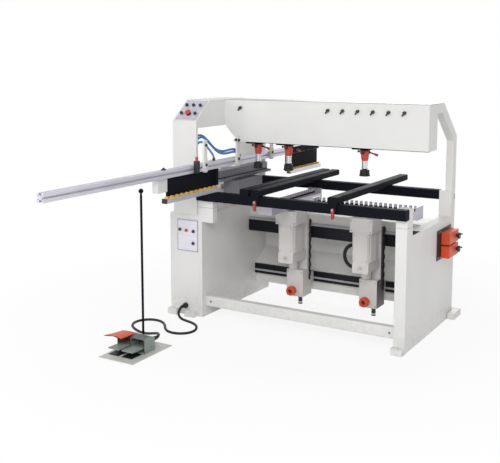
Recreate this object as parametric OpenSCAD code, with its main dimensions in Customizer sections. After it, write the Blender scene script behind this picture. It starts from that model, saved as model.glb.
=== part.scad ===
// Three-row line boring machine for furniture panels, with a foot pedal on a cord.
// +X is the operator's right, +Y is away from the operator, +Z is up, and the origin is the
// middle of the four anchor holes at floor level. All lengths are millimetres.

/* [Overall] */
// Width over the outer faces of both cabinets
machine_w = 1610; // [1560:10:1800]
// Depth of both cabinets
cabinet_d = 870; // [860:10:1000]
// Height of the top of the table rails
rail_top_z = 826; // [810:1:860]
// Height of the top of the overhead beam
beam_top_z = 1393; // [1380:1:1460]

/* [Cabinets] */
// Width of the left cabinet
left_w = 243; // [235:1:260]
// Height of the left cabinet
left_h = 668; // [655:1:675]
// Width of the right cabinet
right_w = 67; // [60:1:90]
// Height of the right cabinet
right_h = 665; // [640:1:680]
// Sheet thickness of the cabinets and the beam
sheet = 5; // [3:0.5:8]
// Thickness of the bolted covers
cover_t = 3; // [2:0.5:5]
// Width of the rear rail post
rear_post_w = 80; // [70:1:95]
// Depth of both rail posts
post_d = 60; // [50:1:70]

/* [Feet] */
// How far the anchor feet reach out from the cabinets
foot_reach = 45; // [35:1:70]
// Height of the anchor feet
foot_h = 40; // [20:1:60]
// Diameter of the anchor holes
anchor_d = 14; // [10:1:20]

/* [Portal and beam] */
// Width of the left portal
portal_w = 175; // [160:1:180]
// Distance from the left cabinet's outer face to the portal
portal_inset = 38; // [30:1:45]
// Wall of the portal's sheet metal
portal_wall = 4; // [3:0.5:6]
// Depth of sheet metal over the arch opening's flat top
arch_drop = 170; // [160:1:180]
// Height of the beam
beam_h = 275; // [260:1:285]
// Depth of the beam
beam_d = 148; // [130:1:170]
// Distance from the cabinet fronts to the beam's front face
beam_setback = 329; // [310:1:340]
// Width of the arch tube
tube_w = 45; // [40:1:50]
// Depth of the arch tube
tube_d = 60; // [50:1:70]

/* [Table] */
// Depth of the table rails
rail_d = 60; // [50:1:70]
// Height of the table rails
rail_h = 60; // [50:1:70]
// Wall of the rails, bars and arms
rail_wall = 4; // [3:0.5:5]
// Width of the table arms and the side bar
arm_w = 62; // [55:1:66]
// Height of the table arms and the side bar
arm_h = 40; // [36:1:46]
// How far the arms reach behind the cabinets
arm_rear_reach = 255; // [150:5:350]
// Share of the free table width that lies left of the side bar
side_bar_share = 0.6; // [0.4:0.01:0.7]
// Distance from the left arm to the left boring unit
arm_1_shift = 16; // [0:1:20]
// Distance from the right arm to the right boring unit
arm_2_shift = 22; // [0:1:40]

/* [Fence] */
// Distance from the left cabinet's inner face to the middle of the fence
fence_offset = 67; // [64:1:75]
// Width of the fence profile
fence_w = 44; // [36:1:48]
// Height of the fence profile
fence_h = 48; // [40:1:56]
// Height of the fence's underside above the table
fence_lift = 104; // [98:1:120]
// How far the fence reaches in front of the cabinets
fence_front = 1470; // [1200:10:1600]
// How far the fence reaches behind the cabinets
fence_rear = 630; // [600:10:700]
// Diameter of the skate wheels
wheel_d = 36; // [30:1:36]
// Spacing of the skate wheels
wheel_pitch = 50; // [44:1:60]

/* [Boring units] */
// Spindles in each row
spindle_count = 21; // [15:2:21]
// Spindle spacing
spindle_pitch = 32; // [28:1:32]
// Bore of the chucks
chuck_bore_d = 10; // [8:0.5:11]
// Height of the chucks
chuck_h = 30; // [25:1:36]
// Width of the vertical heads
head_w = 100; // [80:1:110]
// Height of the vertical heads
head_h = 50; // [40:1:60]
// Gap between the right head's end and the right cabinet
head_2_margin = 3; // [1:0.5:10]
// Width of the unit motors
motor_w = 110; // [90:1:120]
// Height of the unit motors
motor_h = 189; // [170:1:200]

/* [Clamps] */
// Place of the left clamp between the fence and the centre clamp
clamp_1_share = 0.29; // [0.2:0.01:0.4]
// Distance from the right arm to the right clamp
clamp_3_shift = 14; // [-40:1:30]
// Width of the clamp feet
clamp_foot_w = 66; // [50:1:70]
// Diameter of the clamp cylinders
clamp_cylinder_d = 40; // [34:1:46]

/* [Pedal] */
// Width of the pedal's floor plate
pedal_plate_w = 240; // [230:1:280]
// Length of the pedal's floor plate
pedal_plate_l = 363; // [355:1:400]
// Height of the rod's ball above the floor
pedal_rod_z = 914; // [700:1:1000]
// Diameter of the pedal cord
cord_d = 16; // [12:1:18]

/* [Hidden] */
$fn = 48;
overrun = 1;
slide_gap = 0.3;
shaft_gap = 0.05;

paint = [0.92, 0.92, 0.90];
dark = [0.12, 0.13, 0.16];
metal = [0.70, 0.68, 0.74];
orange = [0.88, 0.38, 0.24];
red = [0.78, 0.16, 0.20];
blue = [0.28, 0.48, 0.75];
yellow = [0.94, 0.75, 0.35];
pedal_grey = [0.55, 0.59, 0.57];

// Faces of the cabinets and the main levels
left_x0 = -machine_w / 2;
left_x1 = left_x0 + left_w;
right_x1 = machine_w / 2;
right_x0 = right_x1 - right_w;
front_y = -cabinet_d / 2;
rear_y = cabinet_d / 2;
anchor_x = right_x1 - right_w / 2;
anchor_y = rear_y + foot_reach / 2;
foot_side_l = 100;
front_lug_inset = 130;
front_lug_w = 72;
rail_z0 = rail_top_z - rail_h;
table_z = rail_top_z + arm_h;
boring_y = -20;

// Rails: the front one lies against the posts, the rear one butts on the rear post
front_rail_setout = 30;
front_rail_y0 = front_y - front_rail_setout;
front_post_y0 = front_rail_y0 + rail_d;
front_rail_left_lap = 22;
front_rail_x0 = left_x1 - front_rail_left_lap;
rear_rail_setback = 74;
rear_rail_y0 = rear_y - rear_rail_setback;
rail_r = 8;
rail_end_hole_d = 12;
bracket_w = 84;
bracket_d = 52;
bracket_lap = 43;
tie_setback = 35;
tie_d = 50;
tie_h = 68;
tie_z0 = 67;

// Portal
portal_x0 = left_x0 + portal_inset;
portal_x1 = portal_x0 + portal_w;
portal_lip = 12;
portal_front_y = front_y - portal_lip;
portal_leg_d = 20;
panel_run = 161;
panel_rise = 127;
rear_slope_run = 316;
rear_slope_drop = 232;
rear_leg_d = 88;
arch_z = beam_top_z - arch_drop;
arch_slope_run = 207;
arch_slope_drop = 153;
arch_rear_y = rear_y - rear_leg_d;
fence_arm_setback = 5;
fence_arm_y0 = arch_rear_y + fence_arm_setback;
fence_arm_d = 80;
fence_arm_h = 35;

// Beam and clamp rail
beam_y0 = front_y + beam_setback;
beam_y1 = beam_y0 + beam_d;
beam_z0 = beam_top_z - beam_h;
beam_chamfer = 105;
clamp_y = beam_y0 + beam_d / 2;
clamp_rail_neck_w = 20;
clamp_rail_neck_h = 4;
clamp_rail_w = 40;
clamp_rail_h = 5;
clamp_rail_margin = 20;
clamp_rail_z1 = beam_z0 - clamp_rail_neck_h;
clamp_rail_z0 = clamp_rail_z1 - clamp_rail_h;

// Arch tube
tube_wall = 4;
tube_y = rear_y - tube_d / 2;
tube_slope_z = beam_top_z - rear_slope_drop;
tube_bend_y = rear_y - rear_slope_run + tube_d / 2;

// Girder and guide rails
girder_setback = 265;
girder_y0 = rear_y - girder_setback;
girder_t = 10;
girder_back_setback = 38;
girder_back_y = rear_y - girder_back_setback;
girder_z0 = 87;
girder_z1 = 628;
girder_box_h = 158;
girder_lower_setback = 180;
girder_lower_y0 = rear_y - girder_lower_setback;
girder_fold_z0 = 225;
girder_fold_z1 = 318;
girder_flange_d = 100;
guide_t = 20;
guide_y0 = girder_y0 - guide_t;
lower_guide_y0 = girder_lower_y0 - guide_t;
lower_guide_z0 = 150;
lower_guide_h = 67;
lower_guide_z1 = lower_guide_z0 + lower_guide_h;
upper_guide_z0 = 472;
upper_guide_h = 94;
upper_guide_z1 = upper_guide_z0 + upper_guide_h;

// Fence
fence_x = left_x1 + fence_offset;
fence_z0 = table_z + fence_lift;
fence_z1 = fence_z0 + fence_h;
fence_face_x = fence_x + fence_w / 2;
fence_y0 = front_y - fence_front;
fence_y1 = rear_y + fence_rear;
fence_slot_w = 10;
fence_slot_depth = 13;
fence_slot_inner_w = 18;
fence_lip = 4;
skirt_t = 14;
skirt_drop = 24;
skirt_z0 = table_z - skirt_drop;
skirt_front_reach = 460;
skirt_front_end = 55;
skirt_rear_start = 130;
skirt_post_w = 26;
skirt_post_t = 18;
end_block_w = 40;
end_block_l = 90;
end_block_x_lead = 35;
end_block_lift = 22;
end_block_knob_drop = 20;
end_block_knob_d = 26;
end_block_knob_l = 22;
post_lead = 200;
post_w = 30;
post_t = 26;
post_up = 26;
post_tip_d = 18;
post_tip_h = 24;
channel_wall = 3;
channel_w = 34;
channel_side_h = 28;
channel_front_reach = 515;
channel_front_end = 35;
channel_x0 = fence_x + skirt_t / 2;
wheel_t = 20;
wheel_pin_d = 6;
wheel_axis_z = table_z - wheel_d / 2;
wheel_x = channel_x0 + channel_w / 2;

// Flip stops
stop_t = 16;
stop_w = 24;
stop_up = 154;
stop_down = 48;
stop_pivot_drop = 8;
stop_pivot_z = fence_z1 - stop_pivot_drop;
stop_pin_d = 8;
stop_pin_l = 11;
stop_knob_d = 18;
stop_knob_l = 8;
stop_knob_up = 121;
stop_1_lead = 103;
stop_2_setback = 280;
stop_3_setback = 732;
stop_1_y = front_y - stop_1_lead;
stop_2_y = front_y + stop_2_setback;
stop_3_y = front_y + stop_3_setback;

// Horizontal unit
row_half = (spindle_count - 1) * spindle_pitch / 2;
row_margin = 25;
h_base_front = 160;
h_base_back = 80;
h_base_inset = 15;
h_base_y0 = boring_y - h_base_front;
h_base_y1 = boring_y + h_base_back;
h_base_x0 = left_x0 + h_base_inset;
bed_w = 116;
bed_drop = 96;
bed_lap = 20;
h_base_z1 = table_z - bed_drop + bed_lap;
bed_half = 155;
bed_gap = 2;
h_head_reach = 47;
h_head_x1 = left_x1 + h_head_reach;
h_head_w = 70;
h_head_x0 = h_head_x1 - h_head_w;
h_head_h = 70;
h_head_z0 = table_z + bed_gap;
h_spindle_lift = 18;
h_spindle_z = table_z + h_spindle_lift;
h_chuck_l = 40;
h_motor_d = 140;
h_motor_l = 125;
h_motor_neck_l = 55;
h_motor_z = h_head_z0 + h_head_h / 2;
h_slide_l = 145;
h_slide_end = 45;
h_slide_half = 80;
h_slide_foot_t = 30;

// Vertical units, from the chucks down
chuck_drop = 46;
chuck_d = 18;
chuck_collar_d = 22;
chuck_collar_h = 10;
chuck_bore_l = 25;
chuck_top_z = rail_top_z - chuck_drop;
head_z1 = chuck_top_z - chuck_h;
head_z0 = head_z1 - head_h;
head_end_t = 15;
head_end_gap = 4;
head_half = row_half + chuck_collar_d / 2 + head_end_t + head_end_gap;
unit_2_x = right_x0 - head_2_margin - head_half;
side_bar_gap = 15;
table_free_w = unit_2_x - head_half - left_x1 - bed_w - arm_w * 1.5 - side_bar_gap
    - arm_1_shift - head_w / 2;
side_bar_x = left_x1 + bed_w + side_bar_share * table_free_w + arm_w / 2;
arm_1_x = side_bar_x + arm_w + side_bar_gap;
arm_2_x = unit_2_x - arm_2_shift;
unit_1_x = arm_1_x + arm_1_shift;
clamp_2_x = arm_1_x;
clamp_1_x = fence_face_x + clamp_1_share * (clamp_2_x - fence_face_x);
clamp_3_x = arm_2_x + clamp_3_shift;
neck_d = 90;
neck_h = 18;
pivot_d = 30;
pivot_l = 40;
cap_w = 150;
cap_h = 91;
cap_z1 = head_z0 - neck_h;
cap_z0 = cap_z1 - cap_h;
motor_z0 = cap_z0 - motor_h;
motor_front_lead = 77;
motor_front_y = boring_y - motor_front_lead;
motor_d = 140;
motor_corner_r = 14;
foot_box_w = 108;
foot_box_h = 65;
foot_box_chamfer = 8;
foot_box_z0 = motor_z0 - foot_box_h;
slide_block_w = 90;
saddle_t = 55;
saddle_face_y = guide_y0 - saddle_t;
saddle_half_w = 60;
saddle_z0 = 87;
saddle_flare = 15;
saddle_foot_half_w = 40;
saddle_top_lap = 40;
saddle_lip_h = 20;
saddle_box_d = 60;
saddle_box_h = 180;
saddle_box_y0 = saddle_face_y - saddle_box_d;
saddle_box_z1 = saddle_z0 + saddle_box_h;
lift_cylinder_d = 58;
lift_cylinder_h = 53;
lift_rod_d = 24;
lift_rod_dip = 48;
lift_x_shift = -25;
lift_y = saddle_box_y0 + saddle_box_d / 2;
fitting_d = 26;
fitting_l = 52;
fitting_x_shift = 30;
depth_knob_d = 62;
depth_knob_t = 36;
depth_knob_bore_d = 28;
depth_knob_bore_l = 8;
depth_shaft_d = 12;
depth_shaft_l = 30;
depth_x_shift = -17;
depth_up = 38;
depth_z = saddle_z0 + depth_up;

// Conduit loop on the right unit
conduit_d = 24;
conduit_up = 98;
conduit_lead = 20;
conduit_stub = 14;
conduit_end_up = 22;
conduit_bulge = 62;
conduit_top_z = motor_z0 + conduit_up;
conduit_end_z = foot_box_z0 + conduit_end_up;
conduit_y = boring_y - conduit_lead;
conduit_steps = 12;
conduit_sides = 10;

// Clamps, from the rail down
carriage_w = 114;
carriage_x_shift = -18;
carriage_d = 70;
carriage_lap = 2;
carriage_h = 13;
carriage_z1 = clamp_rail_z1 + carriage_lap;
carriage_z0 = carriage_z1 - carriage_h;
clamp_body_d = 56;
clamp_body_h = 68;
clamp_body_z0 = carriage_z0 - clamp_body_h;
clamp_cylinder_h = 50;
clamp_cylinder_z0 = clamp_body_z0 - clamp_cylinder_h;
clamp_rod_d = 18;
clamp_rod_up = 90;
clamp_foot_h = 45;
clamp_lever_d = 10;
clamp_lever_l = 62;
clamp_lever_grip_d = 16;
clamp_lever_grip_l = 26;
clamp_lever_angle = 17;
clamp_lever_drop = 6;

// Arm locks
lock_block_w = 36;
lock_block_t = 15;
lock_block_drop = 46;
lock_pivot_drop = 30;
lock_pin_d = 10;
lock_pin_l = 12;
lock_lever_w = 18;
lock_lever_t = 14;
lock_lever_l = 46;
lock_lever_x_shift = 12;

// Controls
plate_t = 3;
plate_w = 159;
plate_h = 207;
plate_inset = 54;
plate_drop = 244;
plate_x0 = left_x0 + plate_inset;
plate_z0 = left_h - plate_drop;
panel_plate_share = 0.88;
panel_length = sqrt(panel_run * panel_run + panel_rise * panel_rise);
panel_angle = atan2(panel_rise, panel_run);
panel_low_z = beam_top_z - panel_rise;
panel_x = portal_x0 + portal_w / 2;
knob_d = 22;
knob_h = 20;
knob_tail = 24;
knob_tail_w = 9;
knob_turn = -35;
knob_skirt_d = 28;
knob_skirt_h = 6;
knob_spread_share = 0.30;
panel_rows_share = [0.30, 0.68];
button_d = 24;
button_h = 12;
stop_button_d = 40;
stop_button_cap_h = 12;
stop_button_stem_d = 18;
stop_button_stem_h = 20;
stop_button_bore_l = 12;
button_places_share = [[0.14, 0.67], [0.45, 0.66], [0.77, 0.65], [0.78, 0.27]];
valve_drop = 53;
valve_first_inset = 121;
valve_row_inset = 646;
valve_z = beam_top_z - valve_drop;
valve_first_x = portal_x1 + valve_first_inset;
valve_row_x = right_x1 - valve_row_inset;
valve_pitch = 99;
valve_count = 6;

// Position counters on the right cabinet
counter_plate_t = 6;
counter_setback = 345;
counter_plate_y0 = rear_y - counter_setback;
counter_plate_l = 265;
counter_plate_z0 = 430;
counter_plate_h = 185;
counter_d = 50;
counter_l = 184;
counter_h = 74;
counter_inset = 6;
counter_gap = 10;
counter_x1 = right_x1 + counter_plate_t + counter_d;
counter_y0 = counter_plate_y0 + counter_plate_l - counter_inset - counter_l;
counter_z0s = [
    counter_plate_z0 + counter_inset,
    counter_plate_z0 + counter_inset + counter_h + counter_gap
];
crank_inset = 40;
crank_y = counter_y0 + counter_l - crank_inset;
crank_disc_d = 40;
crank_disc_t = 12;
crank_hub_d = 20;
crank_hub_l = 10;
crank_shaft_d = 10;
crank_shaft_l = 25;
crank_pin_d = 9;
crank_pin_l = 16;
crank_pin_shift = 12;

// Foot pedal: plate, housing with two bays, pedals and carrying rod
pedal_plate_t = 4;
pedal_side_offset = 155;
pedal_lead = 544;
pedal_x0 = left_x0 + pedal_side_offset;
pedal_y1 = front_y - pedal_lead;
pedal_y0 = pedal_y1 - pedal_plate_l;
housing_inset = 5;
housing_setback = 111;
housing_w = 196;
housing_d = 95;
housing_x0 = pedal_x0 + housing_inset;
housing_x1 = housing_x0 + housing_w;
housing_y1 = pedal_y1 - housing_setback;
housing_y0 = housing_y1 - housing_d;
housing_front_h = 84;
housing_peak_h = 96;
housing_rear_h = 76;
housing_peak_y_share = 0.5;
cheek_t = 6;
bay_w = (housing_w - cheek_t * 3) / 2;
pedal_side_gap = 2;
pedal_w = bay_w - pedal_side_gap * 2;
pedal_reach = 95;
pedal_t = 8;
pedal_rest_angle = 2;
pedal_axis_inset = 30;
pedal_axis_up = 30;
pedal_axis_y = housing_y1 - pedal_axis_inset;
pedal_axis_z = pedal_plate_t + pedal_axis_up;
pedal_l = pedal_axis_y - housing_y0 + pedal_reach;
pedal_pin_d = 8;
pedal_boss_d = 16;
hood_t = 4;
hood_reach = 84;
hood_front_rise = 8;
rod_d = 10;
rod_inset = 110;
rod_x = housing_x0 + rod_inset;
rod_y = housing_y1 + rod_d / 2 + slide_gap;
ball_d = 28;

// Cord glands on the left cabinet and on the pedal
gland_d = 36;
gland_l = 14;
gland_nut_d = 28;
gland_nut_l = 8;
gland_inset = 115;
gland_x = left_x0 + gland_inset;
gland_z = 62;
pedal_gland_d = 24;
pedal_gland_l = 34;
pedal_gland_inset = 174;
pedal_gland_up = 56;
pedal_gland_x = housing_x0 + pedal_gland_inset;
pedal_gland_z = pedal_plate_t + pedal_gland_up;

// Route of the pedal cord from the cabinet's front at its gland to the pedal
cord_route = [
    [0, -22, 62], [0, -47, 62], [1, -73, 52], [10, -99, 36],
    [32, -119, 20], [66, -131, 11], [110, -141, 9], [158, -157, 9],
    [202, -185, 9], [234, -225, 9], [252, -271, 9], [246, -321, 9],
    [212, -359, 9], [164, -373, 9], [114, -361, 9], [72, -327, 9],
    [34, -281, 9], [-12, -241, 9], [-68, -223, 9], [-122, -237, 9],
    [-158, -281, 9], [-162, -335, 9], [-136, -387, 9], [-88, -427, 9],
    [-32, -455, 9], [22, -477, 14], [76, -495, 25], [126, -513, 40],
    [172, -537, 54], [204, -569, 60], [219, -601, 60], [219, -621, 60]
];
cord_sides = 10;

// Routes of the blue air lines, from the portal leg's rear over the fence's middle line
air_line_d = 16;
air_line_routes = [
    [[-145, 0, 128], [-145, 15, 128], [-139, 39, 148], [-127, 65, 158],
     [-113, 93, 142], [-101, 121, 110], [-89, 151, 76], [-75, 185, 48],
     [-57, 221, 38], [-39, 257, 44], [-21, 289, 52], [-7, 315, 44],
     [-3, 327, 24], [-3, 327, 0]],
    [[-129, 0, 118], [-129, 15, 118], [-123, 39, 136], [-111, 65, 146],
     [-97, 93, 130], [-85, 121, 97], [-73, 151, 62], [-59, 183, 34],
     [-42, 217, 24], [-23, 251, 29], [-5, 283, 36], [9, 309, 30],
     [13, 321, 18], [13, 321, 0]],
    [[-115, 0, 104], [-115, 15, 104], [-107, 33, 114], [-93, 45, 114],
     [-75, 51, 98], [-55, 51, 76], [-33, 47, 56], [-13, 43, 36],
     [-5, 41, 20], [-5, 41, 0]]
];
air_line_sides = 8;

// A box between two opposite corners
module slab(x0, x1, y0, y1, z0, z1) {
    translate([x0, y0, z0]) cube([x1 - x0, y1 - y0, z1 - z0]);
}

// A round bar along X, Y or Z
module bar_x(d, x0, x1, y, z) {
    translate([x0, y, z]) rotate([0, 90, 0]) cylinder(d = d, h = x1 - x0);
}
module bar_y(d, y0, y1, x, z) {
    translate([x, y1, z]) rotate([90, 0, 0]) cylinder(d = d, h = y1 - y0);
}
module bar_z(d, z0, z1, x, y) {
    translate([x, y, z0]) cylinder(d = d, h = z1 - z0);
}

// A flat outline in (Y, Z) drawn out along X, and one in (X, Z) drawn out along Y
module draw_x(x0, x1) {
    translate([x0, 0, 0]) rotate([90, 0, 90]) linear_extrude(x1 - x0) children();
}
module draw_y(y0, y1) {
    translate([0, y1, 0]) rotate([90, 0, 0]) linear_extrude(y1 - y0) children();
}

// A rectangle with round corners, from its lower left corner
module round_rect(w, h, r) {
    translate([r, 0]) square([w - 2 * r, h]);
    translate([0, r]) square([w, h - 2 * r]);
    for (x = [r, w - r], y = [r, h - r]) translate([x, y]) circle(r);
}

// The wall section of a closed rectangular tube, less its hollow
module bar_section(w, h) {
    round_rect(w, h, rail_r);
}
module hollow_section(w, h) {
    translate([rail_wall, rail_wall])
        round_rect(w - 2 * rail_wall, h - 2 * rail_wall, rail_r - rail_wall);
}

// A hollow tube with closed ends along X or Y
module tube_x(x0, x1, y0, z0, w, h) {
    translate([0, y0, z0]) difference() {
        draw_x(x0, x1) bar_section(w, h);
        draw_x(x0 + rail_wall, x1 - rail_wall) hollow_section(w, h);
    }
}
module tube_y(y0, y1, x0, z0, w, h) {
    translate([x0, 0, z0]) difference() {
        draw_y(y0, y1) bar_section(w, h);
        draw_y(y0 + rail_wall, y1 - rail_wall) hollow_section(w, h);
    }
}

// Unit vector, and the direction of a route at point i
function unit(v) = v / norm(v);
function route_way(p, i) = unit(p[min(i + 1, len(p) - 1)] - p[max(i - 1, 0)]);

// One ring of a swept tube, square to the route
function ring(p, i, r, sides, lead) = let(
    t = route_way(p, i),
    s = unit(cross(t, lead)),
    n = cross(s, t)
) [for (k = [0 : sides - 1]) p[i] + r * (s * cos(360 * k / sides) + n * sin(360 * k / sides))];

// A closed tube swept along a route as one polyhedron; lead is never along the route
module swept_tube(p, d, sides, lead) {
    count = len(p);
    points = [for (i = [0 : count - 1]) each ring(p, i, d / 2, sides, lead)];
    walls = [for (i = [0 : count - 2], k = [0 : sides - 1]) let(
        a = i * sides + k,
        b = i * sides + (k + 1) % sides
    ) each [[a, a + sides, b], [b, a + sides, b + sides]]];
    last = (count - 1) * sides;
    start_cap = [for (k = [1 : sides - 2]) [0, k, k + 1]];
    end_cap = [for (k = [1 : sides - 2]) [last, last + k + 1, last + k]];
    polyhedron(points, concat(walls, start_cap, end_cap));
}

// Outline of the portal in (Y, Z), with its arch
module portal_outline() {
    difference() {
        polygon([
            [portal_front_y, left_h], [portal_front_y, panel_low_z],
            [portal_front_y + panel_run, beam_top_z], [rear_y - rear_slope_run, beam_top_z],
            [rear_y, beam_top_z - rear_slope_drop], [rear_y, left_h]
        ]);
        polygon([
            [portal_front_y + portal_leg_d, left_h - overrun],
            [portal_front_y + portal_leg_d, arch_z],
            [arch_rear_y - arch_slope_run, arch_z],
            [arch_rear_y, arch_z - arch_slope_drop],
            [arch_rear_y, left_h - overrun]
        ]);
    }
}

// Welded sheet-metal box, with the bracket that carries the front rail
module left_cabinet() {
    color(paint) {
        difference() {
            slab(left_x0, left_x1, front_y, rear_y, 0, left_h);
            slab(left_x0 + sheet, left_x1 - sheet, front_y + sheet, rear_y - sheet,
                sheet, left_h - sheet);
        }
        slab(left_x1 - sheet, left_x1 + bracket_w, front_y, front_y + bracket_d,
            left_h - bracket_lap, left_h - sheet);
        slab(left_x1, left_x1 + bracket_w, front_y, front_y + bracket_d,
            left_h - bracket_lap, rail_z0);
    }
}

// Narrow hollow stand with the two posts that carry the rails' right ends
module right_cabinet() {
    color(paint) {
        difference() {
            slab(right_x0, right_x1, front_y, rear_y, 0, right_h);
            slab(right_x0 + sheet, right_x1 - sheet, front_y + sheet, rear_y - sheet,
                sheet, right_h - sheet);
        }
        slab(right_x0, right_x1, front_y, front_post_y0 + post_d, right_h - sheet, rail_z0);
        slab(right_x0, right_x1, front_post_y0, front_post_y0 + post_d, right_h - sheet,
            rail_top_z);
        slab(right_x1 - rear_post_w, right_x1, rear_y - rear_rail_setback, rear_y,
            right_h - sheet, rail_top_z);
    }
}

// Bolted covers on the outer sides of the left cabinet and the portal
module left_covers() {
    color(paint) {
        slab(left_x0 - cover_t, left_x0, front_y, rear_y, 0, left_h);
        draw_x(portal_x0 - cover_t, portal_x0) portal_outline();
    }
}

// One side's front and rear anchor feet
module feet_right() {
    difference() {
        union() {
            slab(right_x0, right_x1, front_y - foot_reach, front_y, 0, foot_h);
            slab(right_x0, right_x1 + cover_t + foot_reach, rear_y, rear_y + foot_reach,
                0, foot_h);
            slab(right_x1 + cover_t, right_x1 + cover_t + foot_reach, rear_y - foot_side_l,
                rear_y + foot_reach, 0, foot_h);
        }
        for (y = [-anchor_y, anchor_y])
            bar_z(anchor_d, -overrun, foot_h + overrun, anchor_x, y);
    }
}

module machine_feet() {
    lug_x0 = left_x0 + front_lug_inset;
    color(paint) {
        feet_right();
        mirror([1, 0, 0]) feet_right();
        slab(lug_x0, lug_x0 + front_lug_w, front_y - foot_reach, front_y, 0, foot_h);
    }
}

// Side arch: welded sheet-metal box
module left_portal() {
    color(paint) difference() {
        draw_x(portal_x0, portal_x1) portal_outline();
        draw_x(portal_x0 + portal_wall, portal_x1 - portal_wall)
            offset(delta = -portal_wall) portal_outline();
        on_panel(0, panel_length * panel_rows_share[0])
            translate([0, 0, -stop_button_bore_l])
            cylinder(d = stop_button_stem_d + 2 * shaft_gap, h = stop_button_bore_l + overrun);
    }
}

// Hollow overhead beam with a cut lower left corner
module top_beam() {
    color(paint) difference() {
        draw_y(beam_y0, beam_y1) polygon([
            [portal_x1, beam_z0 + beam_chamfer], [portal_x1 + beam_chamfer, beam_z0],
            [right_x1, beam_z0], [right_x1, beam_top_z], [portal_x1, beam_top_z]
        ]);
        slab(portal_x1 + beam_chamfer, right_x1 - sheet, beam_y0 + sheet, beam_y1 - sheet,
            beam_z0 + sheet, beam_top_z - sheet);
    }
}

// T rail under the beam that the clamps slide on
module clamp_rail() {
    x0 = portal_x1 + beam_chamfer + clamp_rail_margin;
    x1 = right_x1 - clamp_rail_margin;
    color(dark) {
        slab(x0, x1, clamp_y - clamp_rail_neck_w / 2, clamp_y + clamp_rail_neck_w / 2,
            clamp_rail_z1, beam_z0);
        slab(x0, x1, clamp_y - clamp_rail_w / 2, clamp_y + clamp_rail_w / 2,
            clamp_rail_z0, clamp_rail_z1);
    }
}

// Centre line of the arch tube in (Y, Z), and its offset to one side by h
function tube_line() = [
    [tube_y, rail_top_z],
    [tube_y, tube_slope_z],
    [tube_bend_y, beam_top_z - tube_d / 2],
    [beam_y1, beam_top_z - tube_d / 2]
];
function left_normal(a, b) = let(u = unit(b - a)) [-u[1], u[0]];
function side_point(p, i, h) = let(
    n0 = left_normal(p[max(i - 1, 0)], p[max(i, 1)]),
    n1 = left_normal(p[min(i, len(p) - 2)], p[min(i + 1, len(p) - 1)]),
    m = (n0 + n1) / (1 + n0 * n1)
) p[i] + m * h;
function band(p, h) = concat(
    [for (i = [0 : len(p) - 1]) side_point(p, i, h)],
    [for (i = [len(p) - 1 : -1 : 0]) side_point(p, i, -h)]
);

// Bent rectangular tube from the rear post to the beam's end
module arch_tube() {
    color(paint) difference() {
        draw_x(right_x1 - tube_w, right_x1) polygon(band(tube_line(), tube_d / 2));
        draw_x(right_x1 - tube_w + tube_wall, right_x1 - tube_wall)
            polygon(band(tube_line(), tube_d / 2 - tube_wall));
    }
}

module front_table_rail() {
    color(dark) difference() {
        tube_x(front_rail_x0, right_x1, front_rail_y0, rail_z0, rail_d, rail_h);
        bar_x(rail_end_hole_d, right_x1 - rail_wall - overrun, right_x1 + overrun,
            front_rail_y0 + rail_d / 2, rail_z0 + rail_h / 2);
    }
}

module rear_table_rail() {
    color(dark)
        tube_x(portal_x1, right_x1 - rear_post_w, rear_rail_y0, rail_z0, rail_d, rail_h);
}

// Fixed bar beside the horizontal unit, level with the sliding arms
module side_bar() {
    color(dark) tube_y(front_rail_y0, rear_y + arm_rear_reach, side_bar_x - arm_w / 2,
        rail_top_z, arm_w, arm_h);
}

module tie_rail() {
    color(paint) tube_x(left_x1, right_x0, front_y + tie_setback, tie_z0, tie_d, tie_h);
}

// Welded girder between the cabinets: a box in front, and a back plate that folds down and forward
module rear_girder() {
    half = girder_t / 2;
    box_y = girder_y0 + half;
    box_z0 = girder_z1 - girder_box_h + half;
    low_y = girder_lower_y0 + half;
    color(paint) draw_x(left_x1, right_x0) {
        polygon(band([
            [girder_back_y + half, box_z0], [box_y, box_z0],
            [box_y, girder_z1 - half], [girder_back_y + half, girder_z1 - half]
        ], half));
        polygon(band([
            [girder_back_y, girder_z1], [girder_back_y, girder_fold_z1],
            [low_y, girder_fold_z0], [low_y, girder_z0 + half],
            [girder_lower_y0 + girder_flange_d, girder_z0 + half]
        ], half));
    }
}

// Upper and lower rails that both saddles slide on
module guide_rails() {
    color(dark) {
        slab(left_x1, right_x0, lower_guide_y0, girder_lower_y0, lower_guide_z0, lower_guide_z1);
        slab(left_x1, right_x0, guide_y0, girder_y0, upper_guide_z0, upper_guide_z1);
    }
}

// Section of the fence in (X, Z): a square with a T slot in each side
module fence_section() {
    difference() {
        translate([-fence_w / 2, 0]) square([fence_w, fence_h]);
        for (side = [0 : 3]) translate([0, fence_h / 2]) rotate(90 * side) {
            reach = (side % 2 == 0 ? fence_w : fence_h) / 2;
            translate([reach - fence_slot_depth, -fence_slot_w / 2])
                square([fence_slot_depth + overrun, fence_slot_w]);
            translate([reach - fence_slot_depth, -fence_slot_inner_w / 2])
                square([fence_slot_depth - fence_lip, fence_slot_inner_w]);
        }
    }
}

module fence_extrusion() {
    color(metal) difference() {
        translate([fence_x, 0, fence_z0]) draw_y(fence_y0, fence_y1) fence_section();
        for (y = [stop_1_y, stop_2_y, stop_3_y])
            bar_x(stop_pin_d + 2 * shaft_gap, fence_face_x - stop_pin_l - overrun,
                fence_face_x + overrun, y, stop_pivot_z);
    }
}

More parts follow.
